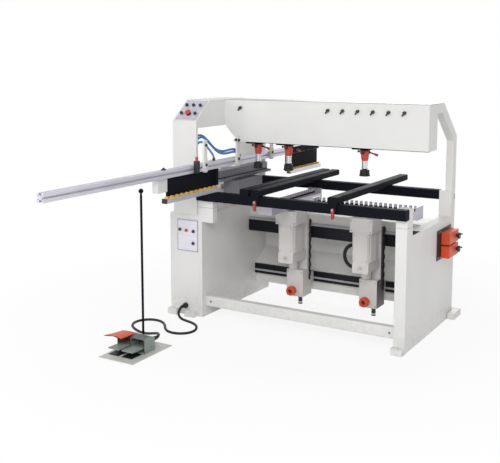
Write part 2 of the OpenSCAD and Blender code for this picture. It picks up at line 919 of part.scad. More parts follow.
// Black plates under the fence, in front of and behind the horizontal unit
module fence_skirts() {
    color(dark) {
        front_end = front_y + skirt_front_end;
        rear_start = rear_y + skirt_rear_start;
        slab(fence_x - skirt_t / 2, fence_x + skirt_t / 2, front_y - skirt_front_reach,
            front_end, skirt_z0, fence_z0);
        slab(fence_x - skirt_t / 2, fence_x + skirt_t / 2, rear_start, fence_y1,
            skirt_z0, fence_z0);
        for (y = [front_end - skirt_post_w, rear_start])
            slab(fence_x + skirt_t / 2, fence_x + skirt_t / 2 + skirt_post_t,
                y, y + skirt_post_w, table_z, fence_z0);
    }
}

// Block that closes the front skirt, the post on the fence's face, and the fence's arm
module fence_fittings() {
    y1 = front_y - skirt_front_reach;
    z0 = table_z + end_block_lift;
    x0 = fence_x - end_block_x_lead;
    color(paint) {
        slab(x0, x0 + end_block_w, y1 - end_block_l, y1, z0, fence_z0);
        bar_x(end_block_knob_d, x0 - end_block_knob_l, x0, y1 - end_block_l / 2,
            fence_z0 - end_block_knob_drop);
        post_y = front_y - post_lead;
        slab(fence_face_x, fence_face_x + post_t, post_y - post_w / 2, post_y + post_w / 2,
            fence_z0, fence_z1 + post_up);
        bar_z(post_tip_d, fence_z1 + post_up, fence_z1 + post_up + post_tip_h,
            fence_face_x + post_t / 2, post_y);
        slab(portal_x1, fence_x - fence_w / 2, fence_arm_y0, fence_arm_y0 + fence_arm_d,
            fence_z0 + fence_lip, fence_z0 + fence_lip + fence_arm_h);
    }
}

// One aluminium channel, open at the top
module wheel_channel(y0, y1) {
    difference() {
        slab(channel_x0, channel_x0 + channel_w, y0, y1, rail_top_z,
            rail_top_z + channel_side_h);
        slab(channel_x0 + channel_wall, channel_x0 + channel_w - channel_wall,
            y0 - overrun, y1 + overrun, rail_top_z + channel_wall,
            rail_top_z + channel_side_h + overrun);
    }
}
channel_spans = [
    [front_y - channel_front_reach, front_y + channel_front_end],
    [rear_y + skirt_rear_start, fence_y1]
];

module wheel_channels() {
    color(metal) for (span = channel_spans) wheel_channel(span[0], span[1]);
}

// Skate wheels on pins between the channel's sides
module skate_wheels() {
    color(yellow) for (span = channel_spans) {
        room = span[1] - span[0] - wheel_pitch;
        count = floor(room / wheel_pitch);
        first = (span[0] + span[1] - count * wheel_pitch) / 2;
        for (i = [0 : count]) {
            y = first + i * wheel_pitch;
            bar_x(wheel_d, wheel_x - wheel_t / 2, wheel_x + wheel_t / 2, y, wheel_axis_z);
            bar_x(wheel_pin_d, channel_x0 + channel_wall, channel_x0 + channel_w - channel_wall,
                y, wheel_axis_z);
        }
    }
}

// Places things on the slanted panel: across the panel, and up it from its lower edge
module on_panel(across, up) {
    translate([panel_x + across, portal_front_y, panel_low_z]) rotate([panel_angle, 0, 0])
        translate([0, up, 0]) children();
}

// Plates behind the buttons, on the cabinet's front and on the slanted panel
module control_plates() {
    w = portal_w * panel_plate_share;
    up = panel_length * panel_plate_share;
    color(pedal_grey) {
        slab(plate_x0, plate_x0 + plate_w, front_y - plate_t, front_y,
            plate_z0, plate_z0 + plate_h);
        difference() {
            on_panel(-w / 2, (panel_length - up) / 2) cube([w, up, plate_t]);
            on_panel(0, panel_length * panel_rows_share[0])
                translate([0, 0, -overrun])
                cylinder(d = stop_button_stem_d + 2 * shaft_gap, h = plate_t + 2 * overrun);
        }
    }
}

// A rotary knob with a pointer tail, standing on its base
module lever_knob() {
    cylinder(d = knob_skirt_d, h = knob_skirt_h);
    cylinder(d = knob_d, h = knob_h);
    translate([-knob_tail_w / 2, -knob_tail, knob_skirt_h])
        cube([knob_tail_w, knob_tail, knob_h - knob_skirt_h]);
}

// Knobs of the slanted panel, buttons of the lower plate and valves of the beam
module control_knobs() {
    spread = portal_w * knob_spread_share;
    color(dark) {
        for (across = [-spread, 0, spread])
            on_panel(across, panel_length * panel_rows_share[1])
                translate([0, 0, plate_t]) cylinder(d = button_d, h = knob_h);
        for (across = [-spread, spread])
            on_panel(across, panel_length * panel_rows_share[0])
                translate([0, 0, plate_t]) cylinder(d = button_d, h = knob_h);
        for (place = button_places_share)
            bar_y(button_d, front_y - plate_t - button_h, front_y - plate_t,
                plate_x0 + plate_w * place[0], plate_z0 + plate_h * place[1]);
        valve_xs = concat([valve_first_x],
            [for (i = [0 : valve_count - 1]) valve_row_x + i * valve_pitch]);
        for (x = valve_xs)
            translate([x, beam_y0, valve_z]) rotate([90, 0, 0]) rotate(knob_turn) lever_knob();
    }
}

// Red mushroom button on the slanted panel
module emergency_stop() {
    color(red) on_panel(0, panel_length * panel_rows_share[0]) {
        translate([0, 0, -stop_button_bore_l])
            cylinder(d = stop_button_stem_d, h = stop_button_bore_l + stop_button_stem_h);
        translate([0, 0, stop_button_stem_h])
            cylinder(d = stop_button_d, h = stop_button_cap_h);
    }
}

module air_lines() {
    color(blue) translate([fence_x, portal_front_y + portal_leg_d, fence_z1])
        for (route = air_line_routes) swept_tube(route, air_line_d, air_line_sides, [1, 0, 0]);
}

// Glands where the pedal's cord leaves the cabinet and enters the pedal
module cord_glands() {
    color(dark) {
        bar_y(gland_d, front_y - gland_l, front_y, gland_x, gland_z);
        bar_y(gland_nut_d, front_y - gland_l - gland_nut_l, front_y - gland_l,
            gland_x, gland_z);
        bar_y(pedal_gland_d, housing_y1, housing_y1 + pedal_gland_l,
            pedal_gland_x, pedal_gland_z);
    }
}

module pedal_cord() {
    color(dark) translate([gland_x, front_y, 0])
        swept_tube(cord_route, cord_d, cord_sides, [0, 0, 1]);
}

// Middle of the left or right pedal bay, counted 0 and 1
function bay_x(i) = housing_x0 + cheek_t + bay_w / 2 + i * (bay_w + cheek_t);

// Top line of the housing in (Y, Z), raised by h
function housing_top(h) = [
    [housing_y0, pedal_plate_t + housing_front_h + h],
    [housing_y0 + housing_d * housing_peak_y_share, pedal_plate_t + housing_peak_h + h],
    [housing_y1, pedal_plate_t + housing_rear_h + h]
];

// Floor plate and housing: the left bay is open at its top, and the right one has a roof
module pedal_base() {
    inner_y = housing_y1 - cheek_t;
    open_y = housing_y0 - overrun;
    peak_z = pedal_plate_t + housing_peak_h;
    left_bay = housing_x0 + cheek_t;
    right_bay = left_bay + bay_w + cheek_t;
    roof = housing_top(-hood_t);
    color(pedal_grey) {
        slab(pedal_x0, pedal_x0 + pedal_plate_w, pedal_y0, pedal_y1, 0, pedal_plate_t);
        difference() {
            draw_x(housing_x0, housing_x1) polygon(concat(
                [[housing_y1, 0], [housing_y0, 0]],
                housing_top(0)
            ));
            draw_x(left_bay, left_bay + bay_w) polygon([
                [open_y, pedal_plate_t], [inner_y, pedal_plate_t],
                [inner_y, peak_z + overrun], [open_y, peak_z + overrun]
            ]);
            draw_x(right_bay, right_bay + bay_w) polygon([
                [open_y, pedal_plate_t], [inner_y, pedal_plate_t],
                [inner_y, roof[2][1]], roof[1], [open_y, roof[0][1]]
            ]);
            bar_x(pedal_pin_d + 2 * shaft_gap, housing_x0 - overrun, housing_x1 + overrun,
                pedal_axis_y, pedal_axis_z);
        }
    }
}

// Orange hood over the left bay, reaching out over its pedal
module pedal_hood() {
    low = housing_top(0);
    high = housing_top(hood_t);
    tip_y = housing_y0 - hood_reach;
    tip_z = low[1][1] + hood_front_rise;
    color(orange) draw_x(housing_x0, housing_x0 + cheek_t + bay_w) polygon([
        low[2], low[1], [tip_y, tip_z], [tip_y, tip_z + hood_t], high[1], high[2]
    ]);
}

// Carrying rod with its ball, standing on the plate behind the housing
module pedal_rod() {
    color(dark) {
        bar_z(rod_d, pedal_plate_t, pedal_rod_z, rod_x, rod_y);
        translate([rod_x, rod_y, pedal_rod_z]) sphere(d = ball_d);
    }
}

// One pedal, a little raised at its front edge, on its own pin
module pedal(i) {
    x = bay_x(i);
    boss_half = bay_w / 2 - 2 * slide_gap;
    pin_half = bay_w / 2 + cheek_t / 2 - slide_gap;
    color(pedal_grey) {
        translate([x, pedal_axis_y, pedal_axis_z]) rotate([-pedal_rest_angle, 0, 0])
            translate([-pedal_w / 2, -pedal_l, -pedal_t / 2]) cube([pedal_w, pedal_l, pedal_t]);
        bar_x(pedal_boss_d, x - boss_half, x + boss_half, pedal_axis_y, pedal_axis_z);
        bar_x(pedal_pin_d, x - pin_half, x + pin_half, pedal_axis_y, pedal_axis_z);
    }
}
module pedal_left() {
    pedal(0);
}
module pedal_right() {
    pedal(1);
}

// Base on the left cabinet and the bed block that carries the panel's edge
module horizontal_base() {
    color(metal) {
        slab(h_base_x0, left_x1, h_base_y0, h_base_y1, left_h, h_base_z1);
        slab(left_x1 - bed_lap, left_x1 + bed_w, boring_y - bed_half, boring_y + bed_half,
            table_z - bed_drop, h_base_z1);
        slab(left_x1, left_x1 + bed_w, boring_y - bed_half, boring_y + bed_half,
            table_z - bed_drop, table_z);
    }
}

// Gear housing with its motor, and the slide under the motor
module horizontal_head() {
    half = row_half + row_margin;
    motor_x1 = h_head_x0 - h_motor_neck_l;
    color(metal) {
        slab(h_head_x0, h_head_x1, boring_y - half, boring_y + half, h_head_z0,
            h_head_z0 + h_head_h);
        bar_x(h_head_h, motor_x1, h_head_x0, boring_y, h_motor_z);
        bar_x(h_motor_d, motor_x1 - h_motor_l, motor_x1, boring_y, h_motor_z);
        slab(h_head_x0 - h_slide_end - h_slide_l, h_head_x0 - h_slide_end,
            boring_y - h_slide_half, boring_y + h_slide_half, h_base_z1 + slide_gap,
            h_base_z1 + h_slide_foot_t);
        slab(h_head_x0 - h_slide_end - h_slide_l, h_head_x0 - h_slide_end,
            boring_y - h_slide_half / 2, boring_y + h_slide_half / 2, h_base_z1 + slide_gap,
            h_motor_z);
    }
}

// One drill chuck standing on its collar, with its bore from the tip
module chuck(length) {
    difference() {
        union() {
            cylinder(d = chuck_collar_d, h = chuck_collar_h);
            cylinder(d = chuck_d, h = length);
        }
        translate([0, 0, length - chuck_bore_l])
            cylinder(d = chuck_bore_d, h = chuck_bore_l + overrun);
    }
}

module horizontal_chucks() {
    color(metal) for (i = [0 : spindle_count - 1])
        translate([h_head_x1, boring_y - row_half + i * spindle_pitch, h_spindle_z])
            rotate([0, 90, 0]) chuck(h_chuck_l);
}

// Casting that hangs on both guide rails, flared at its foot, with the lift cylinder on its box
module saddle(x) {
    color(paint) {
        slab(x - saddle_half_w, x + saddle_half_w, saddle_face_y, guide_y0 - slide_gap,
            saddle_z0, upper_guide_z1 + saddle_top_lap);
        slab(x - saddle_half_w, x + saddle_half_w, guide_y0 - slide_gap,
            girder_y0 - slide_gap, upper_guide_z1 + slide_gap,
            upper_guide_z1 + slide_gap + saddle_lip_h);
        draw_x(x - saddle_half_w, x + saddle_half_w) polygon([
            [saddle_face_y, saddle_z0], [guide_y0 + saddle_flare, saddle_z0],
            [guide_y0 - slide_gap, saddle_box_z1], [saddle_face_y, saddle_box_z1]
        ]);
        slab(x - saddle_foot_half_w, x + saddle_foot_half_w, saddle_face_y,
            lower_guide_y0 - slide_gap, lower_guide_z0, lower_guide_z1);
        difference() {
            slab(x - saddle_half_w, x + saddle_half_w, saddle_box_y0, saddle_face_y,
                saddle_z0, saddle_box_z1);
            bar_y(depth_shaft_d + 2 * shaft_gap, saddle_box_y0 - overrun,
                saddle_box_y0 + depth_shaft_l + overrun, x + depth_x_shift, depth_z);
        }
        difference() {
            bar_z(lift_cylinder_d, saddle_box_z1, saddle_box_z1 + lift_cylinder_h,
                x + lift_x_shift, lift_y);
            bar_z(lift_rod_d + 2 * shaft_gap, saddle_box_z1, saddle_box_z1 + lift_cylinder_h
                + overrun, x + lift_x_shift, lift_y);
        }
        bar_z(fitting_d, saddle_z0 - fitting_l, saddle_z0, x + fitting_x_shift,
            saddle_box_y0 + fitting_d);
    }
}
module saddle_1() {
    saddle(unit_1_x);
}
module saddle_2() {
    saddle(unit_2_x);
}

// Gear cap, motor and lower bracket on the vertical slide, with the lift rod
module column(x) {
    foot_half = foot_box_w / 2;
    color(paint) {
        difference() {
            slab(x - cap_w / 2, x + cap_w / 2, boring_y - cap_w / 2, boring_y + cap_w / 2,
                cap_z0, cap_z1);
            bar_z(pivot_d + 2 * shaft_gap, cap_z1 - pivot_l - overrun, cap_z1 + overrun,
                x, boring_y);
        }
        translate([x - motor_w / 2, motor_front_y, motor_z0])
            linear_extrude(motor_h) round_rect(motor_w, motor_d, motor_corner_r);
        draw_y(motor_front_y, saddle_face_y - slide_gap) translate([x, foot_box_z0]) polygon([
            [-foot_half, foot_box_h], [-foot_half, foot_box_chamfer],
            [foot_box_chamfer - foot_half, 0], [foot_half - foot_box_chamfer, 0],
            [foot_half, foot_box_chamfer], [foot_half, foot_box_h]
        ]);
        slab(x - slide_block_w / 2, x + slide_block_w / 2, motor_front_y + motor_d / 2,
            saddle_face_y - slide_gap, motor_z0, cap_z0);
        bar_z(lift_rod_d, saddle_box_z1 + lift_cylinder_h - lift_rod_dip, foot_box_z0,
            x + lift_x_shift, lift_y);
    }
}
module column_1() {
    column(unit_1_x);
}
module column_2() {
    column(unit_2_x);
}

// Turning gear head with its pivot, lying along X
module boring_head() {
    translate([-head_half, -head_w / 2, head_z0]) cube([head_half * 2, head_w, head_h]);
    for (x = [-head_half, head_half - head_end_t])
        translate([x, -head_w / 2, head_z1]) cube([head_end_t, head_w, chuck_h]);
    translate([0, 0, cap_z1 + slide_gap])
        cylinder(d = neck_d, h = head_z0 - cap_z1 - slide_gap);
    translate([0, 0, cap_z1 - pivot_l]) cylinder(d = pivot_d, h = head_z0 - cap_z1 + pivot_l);
}
module head_1() {
    color(metal) translate([unit_1_x, boring_y, 0]) rotate(90) boring_head();
}
module head_2() {
    color(metal) translate([unit_2_x, boring_y, 0]) boring_head();
}

// Row of chucks on a head that lies along X
module chuck_row() {
    for (i = [0 : spindle_count - 1])
        translate([i * spindle_pitch - row_half, 0, head_z1]) chuck(chuck_h);
}
module chucks_1() {
    color(metal) translate([unit_1_x, boring_y, 0]) rotate(90) chuck_row();
}
module chucks_2() {
    color(metal) translate([unit_2_x, boring_y, 0]) chuck_row();
}

// Orange depth knob, a barrel with a bore in its front, on a shaft into the saddle
module depth_knob(x) {
    y1 = saddle_box_y0 - slide_gap;
    kx = x + depth_x_shift;
    color(orange) {
        difference() {
            bar_y(depth_knob_d, y1 - depth_knob_t, y1, kx, depth_z);
            bar_y(depth_knob_bore_d, y1 - depth_knob_t - overrun,
                y1 - depth_knob_t + depth_knob_bore_l, kx, depth_z);
        }
        bar_y(depth_shaft_d, y1 - depth_knob_t + depth_knob_bore_l,
            saddle_box_y0 + depth_shaft_l, kx, depth_z);
    }
}
module depth_knob_1() {
    depth_knob(unit_1_x);
}
module depth_knob_2() {
    depth_knob(unit_2_x);
}

// Conduit that leaves the right motor's side and comes back to its lower bracket
function conduit_arc(s) = let(
    x0 = unit_2_x - motor_w / 2 - conduit_stub,
    x1 = unit_2_x - foot_box_w / 2 - conduit_stub,
    z_mid = (conduit_top_z + conduit_end_z) / 2,
    z_half = (conduit_top_z - conduit_end_z) / 2
) [x0 + (x1 - x0) * s - conduit_bulge * sin(180 * s), conduit_y, z_mid + z_half * cos(180 * s)];
module motor_conduit() {
    route = concat(
        [[unit_2_x - motor_w / 2, conduit_y, conduit_top_z]],
        [for (i = [0 : conduit_steps]) conduit_arc(i / conduit_steps)],
        [[unit_2_x - foot_box_w / 2, conduit_y, conduit_end_z]]
    );
    color(dark) swept_tube(route, conduit_d, conduit_sides, [0, 1, 0]);
}

// Flat clamp carriage round the T rail, with its cone, air cylinder and lever
module clamp_body(x) {
    tip = clamp_body_d / 2 + clamp_lever_l;
    carriage_x0 = x + carriage_x_shift - carriage_w / 2;
    color(red) {
        difference() {
            slab(carriage_x0, carriage_x0 + carriage_w, clamp_y - carriage_d / 2,
                clamp_y + carriage_d / 2, carriage_z0, carriage_z1);
            slab(x - carriage_w, x + carriage_w, clamp_y - clamp_rail_w / 2 - slide_gap,
                clamp_y + clamp_rail_w / 2 + slide_gap, clamp_rail_z0 - slide_gap,
                clamp_rail_z1 + slide_gap);
            slab(x - carriage_w, x + carriage_w, clamp_y - clamp_rail_neck_w / 2 - slide_gap,
                clamp_y + clamp_rail_neck_w / 2 + slide_gap, clamp_rail_z1,
                carriage_z1 + overrun);
        }
        difference() {
            union() {
                translate([x, clamp_y, clamp_body_z0])
                    cylinder(d1 = clamp_cylinder_d, d2 = clamp_body_d, h = clamp_body_h);
                bar_z(clamp_cylinder_d, clamp_cylinder_z0, clamp_body_z0, x, clamp_y);
            }
            bar_z(clamp_rod_d + 2 * shaft_gap, clamp_cylinder_z0 - overrun,
                clamp_cylinder_z0 + clamp_rod_up + overrun, x, clamp_y);
        }
        translate([x, clamp_y, carriage_z0 - clamp_lever_drop])
            rotate([0, 90 + clamp_lever_angle, 0]) difference() {
                union() {
                    cylinder(d = clamp_lever_d, h = tip);
                    translate([0, 0, tip - clamp_lever_grip_l])
                        cylinder(d = clamp_lever_grip_d, h = clamp_lever_grip_l);
                }
                cylinder(d = clamp_lever_grip_d, h = clamp_body_d / 2 - sheet);
            }
    }
}
module clamp_body_1() {
    clamp_body(clamp_1_x);
}
module clamp_body_2() {
    clamp_body(clamp_2_x);
}
module clamp_body_3() {
    clamp_body(clamp_3_x);
}

// Plunger rod with its square foot
module clamp_foot(x) {
    z1 = clamp_cylinder_z0 - slide_gap;
    color(dark) {
        slab(x - clamp_foot_w / 2, x + clamp_foot_w / 2, clamp_y - clamp_foot_w / 2,
            clamp_y + clamp_foot_w / 2, z1 - clamp_foot_h, z1);
        bar_z(clamp_rod_d, z1 - clamp_foot_h / 2, clamp_cylinder_z0 + clamp_rod_up, x, clamp_y);
    }
}
module clamp_foot_1() {
    clamp_foot(clamp_1_x);
}
module clamp_foot_2() {
    clamp_foot(clamp_2_x);
}
module clamp_foot_3() {
    clamp_foot(clamp_3_x);
}

// Sliding table arm with the lock block in front of the rail
module table_arm(x) {
    block_y1 = front_rail_y0 - slide_gap;
    pivot_z = rail_top_z - lock_pivot_drop;
    lx = x + lock_lever_x_shift;
    color(dark) {
        tube_y(front_rail_y0, rear_y + arm_rear_reach, x - arm_w / 2,
            rail_top_z + slide_gap, arm_w, arm_h - slide_gap);
        difference() {
            slab(lx - lock_block_w / 2, lx + lock_block_w / 2, block_y1 - lock_block_t,
                block_y1, rail_top_z - lock_block_drop, table_z - rail_r);
            bar_y(lock_pin_d + 2 * shaft_gap, block_y1 - lock_block_t - overrun,
                block_y1 - lock_block_t + lock_pin_l + overrun, lx, pivot_z);
        }
        slab(lx - lock_block_w / 2, lx + lock_block_w / 2, block_y1 - lock_block_t,
            front_rail_y0 + rail_wall, rail_top_z + rail_r, table_z - rail_r);
    }
}
module table_arm_1() {
    table_arm(arm_1_x);
}
module table_arm_2() {
    table_arm(arm_2_x);
}

// Red lock lever hanging from its pin
module arm_lock(x) {
    y1 = front_rail_y0 - lock_block_t - 2 * slide_gap;
    pivot_z = rail_top_z - lock_pivot_drop;
    lx = x + lock_lever_x_shift;
    color(red) {
        lever_y0 = y1 - lock_lever_t;
        translate([lx - lock_lever_w / 2, lever_y0, pivot_z - lock_lever_l])
            cube([lock_lever_w, lock_lever_t, lock_lever_l]);
        bar_y(lock_lever_w, lever_y0, y1, lx, pivot_z);
        bar_y(lock_lever_w, lever_y0, y1, lx, pivot_z - lock_lever_l);
        bar_y(lock_pin_d, lever_y0, y1 + slide_gap + lock_pin_l, lx, pivot_z);
    }
}
module arm_lock_1() {
    arm_lock(arm_1_x);
}
module arm_lock_2() {
    arm_lock(arm_2_x);
}

// White flip stop on the fence's face, with its two black knobs
module flip_stop(y) {
    x0 = fence_face_x + slide_gap;
    color(paint) {
        slab(x0, x0 + stop_t, y - stop_w / 2, y + stop_w / 2, stop_pivot_z - stop_down + stop_w / 2,
            stop_pivot_z + stop_up - stop_w / 2);
        for (z = [stop_pivot_z - stop_down + stop_w / 2, stop_pivot_z + stop_up - stop_w / 2])
            bar_x(stop_w, x0, x0 + stop_t, y, z);
        for (z = [stop_pivot_z, stop_pivot_z + stop_knob_up])
            bar_x(stop_knob_d, x0 + stop_t, x0 + stop_t + stop_knob_l, y, z);
        bar_x(stop_pin_d, fence_face_x - stop_pin_l, x0, y, stop_pivot_z);
    }
}
module flip_stop_1() {
    flip_stop(stop_1_y);
}
module flip_stop_2() {
    flip_stop(stop_2_y);
}
module flip_stop_3() {
    flip_stop(stop_3_y);
}

// Back plate and two orange position counters on the right cabinet
module counter_boxes() {
    color(orange) {
        slab(right_x1, right_x1 + counter_plate_t, counter_plate_y0,
            counter_plate_y0 + counter_plate_l, counter_plate_z0,
            counter_plate_z0 + counter_plate_h);
        for (z = counter_z0s) difference() {
            slab(right_x1 + counter_plate_t, counter_x1, counter_y0, counter_y0 + counter_l,
                z, z + counter_h);
            bar_x(crank_shaft_d + 2 * shaft_gap, counter_x1 - crank_shaft_l - overrun,
                counter_x1 + overrun, crank_y, z + counter_h / 2);
        }
    }
}

// Black crank wheel with a small handle, on its shaft
module counter_crank(i) {
    z = counter_z0s[i] + counter_h / 2;
    disc_x0 = counter_x1 + slide_gap + crank_hub_l;
    disc_x1 = disc_x0 + crank_disc_t;
    color(dark) {
        bar_x(crank_shaft_d, counter_x1 - crank_shaft_l, disc_x0, crank_y, z);
        bar_x(crank_hub_d, counter_x1 + slide_gap, disc_x0, crank_y, z);
        bar_x(crank_disc_d, disc_x0, disc_x1, crank_y, z);
        bar_x(crank_pin_d, disc_x1, disc_x1 + crank_pin_l, crank_y, z + crank_pin_shift);
    }
}
module counter_crank_1() {
    counter_crank(1);
}
module counter_crank_2() {
    counter_crank(0);
}

left_cabinet();
right_cabinet();
left_covers();
machine_feet();
left_portal();
top_beam();
clamp_rail();
arch_tube();
front_table_rail();
rear_table_rail();
side_bar();
tie_rail();
rear_girder();
guide_rails();
fence_extrusion();
fence_skirts();
fence_fittings();
wheel_channels();
skate_wheels();
control_plates();
control_knobs();
emergency_stop();
air_lines();
cord_glands();
pedal_cord();
pedal_base();
pedal_rod();
pedal_left();
pedal_right();
pedal_hood();
horizontal_base();
horizontal_head();
horizontal_chucks();
saddle_1();
column_1();
head_1();
chucks_1();
depth_knob_1();
saddle_2();
column_2();
head_2();
chucks_2();
depth_knob_2();
motor_conduit();
clamp_body_1();
clamp_body_2();
clamp_body_3();
clamp_foot_1();
clamp_foot_2();
clamp_foot_3();
table_arm_1();
table_arm_2();
arm_lock_1();
arm_lock_2();
flip_stop_1();
flip_stop_2();
flip_stop_3();
counter_boxes();
counter_crank_1();
counter_crank_2();
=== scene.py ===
"""Looks of the three-row line boring machine: camera, light, cords, finishes and turned details."""
import math

import bmesh
import bpy
import numpy as np
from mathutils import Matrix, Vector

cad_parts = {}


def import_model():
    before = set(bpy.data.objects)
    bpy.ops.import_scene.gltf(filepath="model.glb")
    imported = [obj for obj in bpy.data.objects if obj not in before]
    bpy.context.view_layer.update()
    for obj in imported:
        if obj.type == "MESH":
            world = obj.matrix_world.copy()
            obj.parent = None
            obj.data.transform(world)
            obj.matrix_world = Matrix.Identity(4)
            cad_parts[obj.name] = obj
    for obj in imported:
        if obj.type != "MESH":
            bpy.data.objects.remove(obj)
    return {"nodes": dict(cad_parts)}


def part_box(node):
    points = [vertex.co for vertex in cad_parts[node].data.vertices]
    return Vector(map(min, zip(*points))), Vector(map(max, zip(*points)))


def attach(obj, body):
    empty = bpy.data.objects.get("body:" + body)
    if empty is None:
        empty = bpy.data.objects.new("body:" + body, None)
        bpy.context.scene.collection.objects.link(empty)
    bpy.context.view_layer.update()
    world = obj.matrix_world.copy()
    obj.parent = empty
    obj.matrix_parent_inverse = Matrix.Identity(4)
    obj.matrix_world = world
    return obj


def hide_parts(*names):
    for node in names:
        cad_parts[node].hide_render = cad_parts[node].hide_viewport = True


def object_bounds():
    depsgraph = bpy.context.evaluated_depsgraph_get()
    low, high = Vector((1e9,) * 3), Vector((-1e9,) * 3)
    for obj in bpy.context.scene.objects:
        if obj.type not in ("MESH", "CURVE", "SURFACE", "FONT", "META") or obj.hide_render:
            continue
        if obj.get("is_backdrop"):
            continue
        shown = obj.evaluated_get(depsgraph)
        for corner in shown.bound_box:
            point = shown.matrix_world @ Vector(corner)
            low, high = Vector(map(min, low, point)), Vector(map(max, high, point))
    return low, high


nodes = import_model()["nodes"]
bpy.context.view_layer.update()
scene = bpy.context.scene
scene.view_settings.view_transform = "Standard"

X, Y, Z = np.eye(3)


# Camera, floor and light

def make_camera():
    """Camera at the photographed corner, looking 7 degrees down, its picture shifted a little."""
    data = bpy.data.cameras.new("photo_view")
    data.sensor_width = 36.0
    data.lens = 59.8835
    data.shift_y = -0.13
    camera = bpy.data.objects.new("photo_view", data)
    camera.location = (2.3621, -4.7586, 1.6393)
    camera.rotation_euler = (math.radians(90.0 - 7.1949), 0.0, math.radians(30.7001))
    scene.collection.objects.link(camera)
    scene.camera = camera


def put(tree, kind, settings=None, **inputs):
    """One shader node; each input is a constant or another node's output socket."""
    made = tree.nodes.new("ShaderNode" + kind)
    for name, value in (settings or {}).items():
        setattr(made, name, value)
    for name, value in inputs.items():
        key = int(name[1:]) if name.startswith("_") else name.replace("_", " ")
        if isinstance(value, bpy.types.NodeSocket):
            tree.links.new(value, made.inputs[key])
        else:
            made.inputs[key].default_value = value
    return made


def ranged(tree, value, from_min, from_max, to_min, to_max):
    """Value carried from one range to another and held at its ends."""
    return put(tree, "MapRange", {"clamp": True}, Value=value, From_Min=from_min, From_Max=from_max,
               To_Min=to_min, To_Max=to_max).outputs[0]


def combined(tree, operation, *values):
    """Result of one Math node."""
    return put(tree, "Math", {"operation": operation},
               **{"_%d" % i: value for i, value in enumerate(values)}).outputs[0]


def background_rays(tree):
    """1 for camera, glossy and transmission rays, which see the plain backdrop."""
    path = put(tree, "LightPath")
    seen = combined(tree, "MAXIMUM", path.outputs["Is Camera Ray"], path.outputs["Is Glossy Ray"])
    return combined(tree, "MAXIMUM", seen, path.outputs["Is Transmission Ray"])


def emptied(owner):
    """Cleared node tree of a material or a world."""
    owner.use_nodes = True
    owner.node_tree.nodes.clear()
    return owner.node_tree


def make_world():
    """Even dome light, weaker from straight above, behind a white backdrop."""
    world = bpy.data.worlds.new("studio")
    scene.world = world
    tree = emptied(world)
    place = put(tree, "TexCoord")
    height = put(tree, "SeparateXYZ", Vector=place.outputs["Generated"])
    level_light, overhead_light = 0.62, 0.40
    strength = ranged(tree, height.outputs["Z"], 0.0, 1.0, level_light, overhead_light)
    ambient = put(tree, "Background", Color=(0.985, 0.99, 1.0, 1.0), Strength=strength)
    white = put(tree, "Background", Color=(1.0, 1.0, 1.0, 1.0), Strength=1.0)
    mix = put(tree, "MixShader", _0=background_rays(tree), _1=ambient.outputs[0], _2=white.outputs[0])
    put(tree, "OutputWorld", Surface=mix.outputs[0])


def area_light(name, place, aim, size, watts):
    """A square soft box at a place, turned towards a point."""
    data = bpy.data.lights.new(name, "AREA")
    data.size = size
    data.energy = watts
    lamp = bpy.data.objects.new(name, data)
    way = np.asarray(aim, float) - np.asarray(place, float)
    lamp.location = place
    lamp.rotation_euler = (math.atan2(math.hypot(way[0], way[1]), -way[2]), 0.0,
                           math.atan2(way[1], way[0]) - math.pi / 2)
    scene.collection.objects.link(lamp)


def make_floor():
    """Wide pale floor: to the camera it keeps the soft shadow near the object and fades to white."""
    mesh = bpy.data.meshes.new("floor")
    side = 40.0
    mesh.from_pydata([(-side, -side, 0), (side, -side, 0), (side, side, 0), (-side, side, 0)], [],
                     [(0, 1, 2, 3)])
    floor = bpy.data.objects.new("floor", mesh)
    scene.collection.objects.link(floor)
    material = bpy.data.materials.new("pale_floor")
    tree = emptied(material)
    matte = put(tree, "BsdfDiffuse", Color=(0.93, 0.93, 0.93, 1.0))
    glow = put(tree, "Emission", Color=(1.0, 1.0, 1.0, 1.0), Strength=1.0)
    away = put(tree, "VectorMath", {"operation": "LENGTH"}, _0=put(tree, "TexCoord").outputs["Object"])
    near, far, near_share = 1.0, 2.4, 0.86
    fade = ranged(tree, away.outputs["Value"], near, far, near_share, 1.0)
    share = combined(tree, "MULTIPLY", background_rays(tree), fade)
    mix = put(tree, "MixShader", _0=share, _1=matte.outputs[0], _2=glow.outputs[0])
    put(tree, "OutputMaterial", Surface=mix.outputs[0])
    mesh.materials.append(material)
    floor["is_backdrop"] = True


make_camera()
make_world()
make_floor()
area_light("key_box", (2.0, -4.5, 3.3), (0.0, 0.0, 0.8), 2.2, 105.0)
area_light("fill_box", (-2.6, -4.2, 2.6), (-0.4, 0.0, 0.8), 2.6, 34.0)
area_light("rear_box", (-1.0, 4.8, 3.2), (0.0, 0.0, 0.8), 3.0, 80.0)


# Surfaces: a shape is a pair (points, quads) in millimetres, worked out as whole arrays

def grid_quads(rows, columns, wrap):
    """Quads of a rows x columns grid of points; wrap joins the last column to the first."""
    r = np.arange(rows - 1)[:, None]
    c = np.arange(columns if wrap else columns - 1)[None, :]
    n = (c + 1) % columns
    return np.stack([r * columns + c, r * columns + n, (r + 1) * columns + n,
                     (r + 1) * columns + c], axis=-1).reshape(-1, 4)


def joined(*shapes):
    """Several shapes as one: points stacked, quads counted on."""
    starts = np.cumsum([0] + [len(points) for points, _ in shapes[:-1]])
    return (np.concatenate([points for points, _ in shapes]),
            np.concatenate([quads + start for (_, quads), start in zip(shapes, starts)]))


def repeated(shape, places):
    """The shape moved to each place: every point plus every place."""
    points, quads = shape
    places = np.asarray(places, float)
    return ((points[None] + places[:, None]).reshape(-1, 3),
            (quads[None] + len(points) * np.arange(len(places))[:, None, None]).reshape(-1, 4))


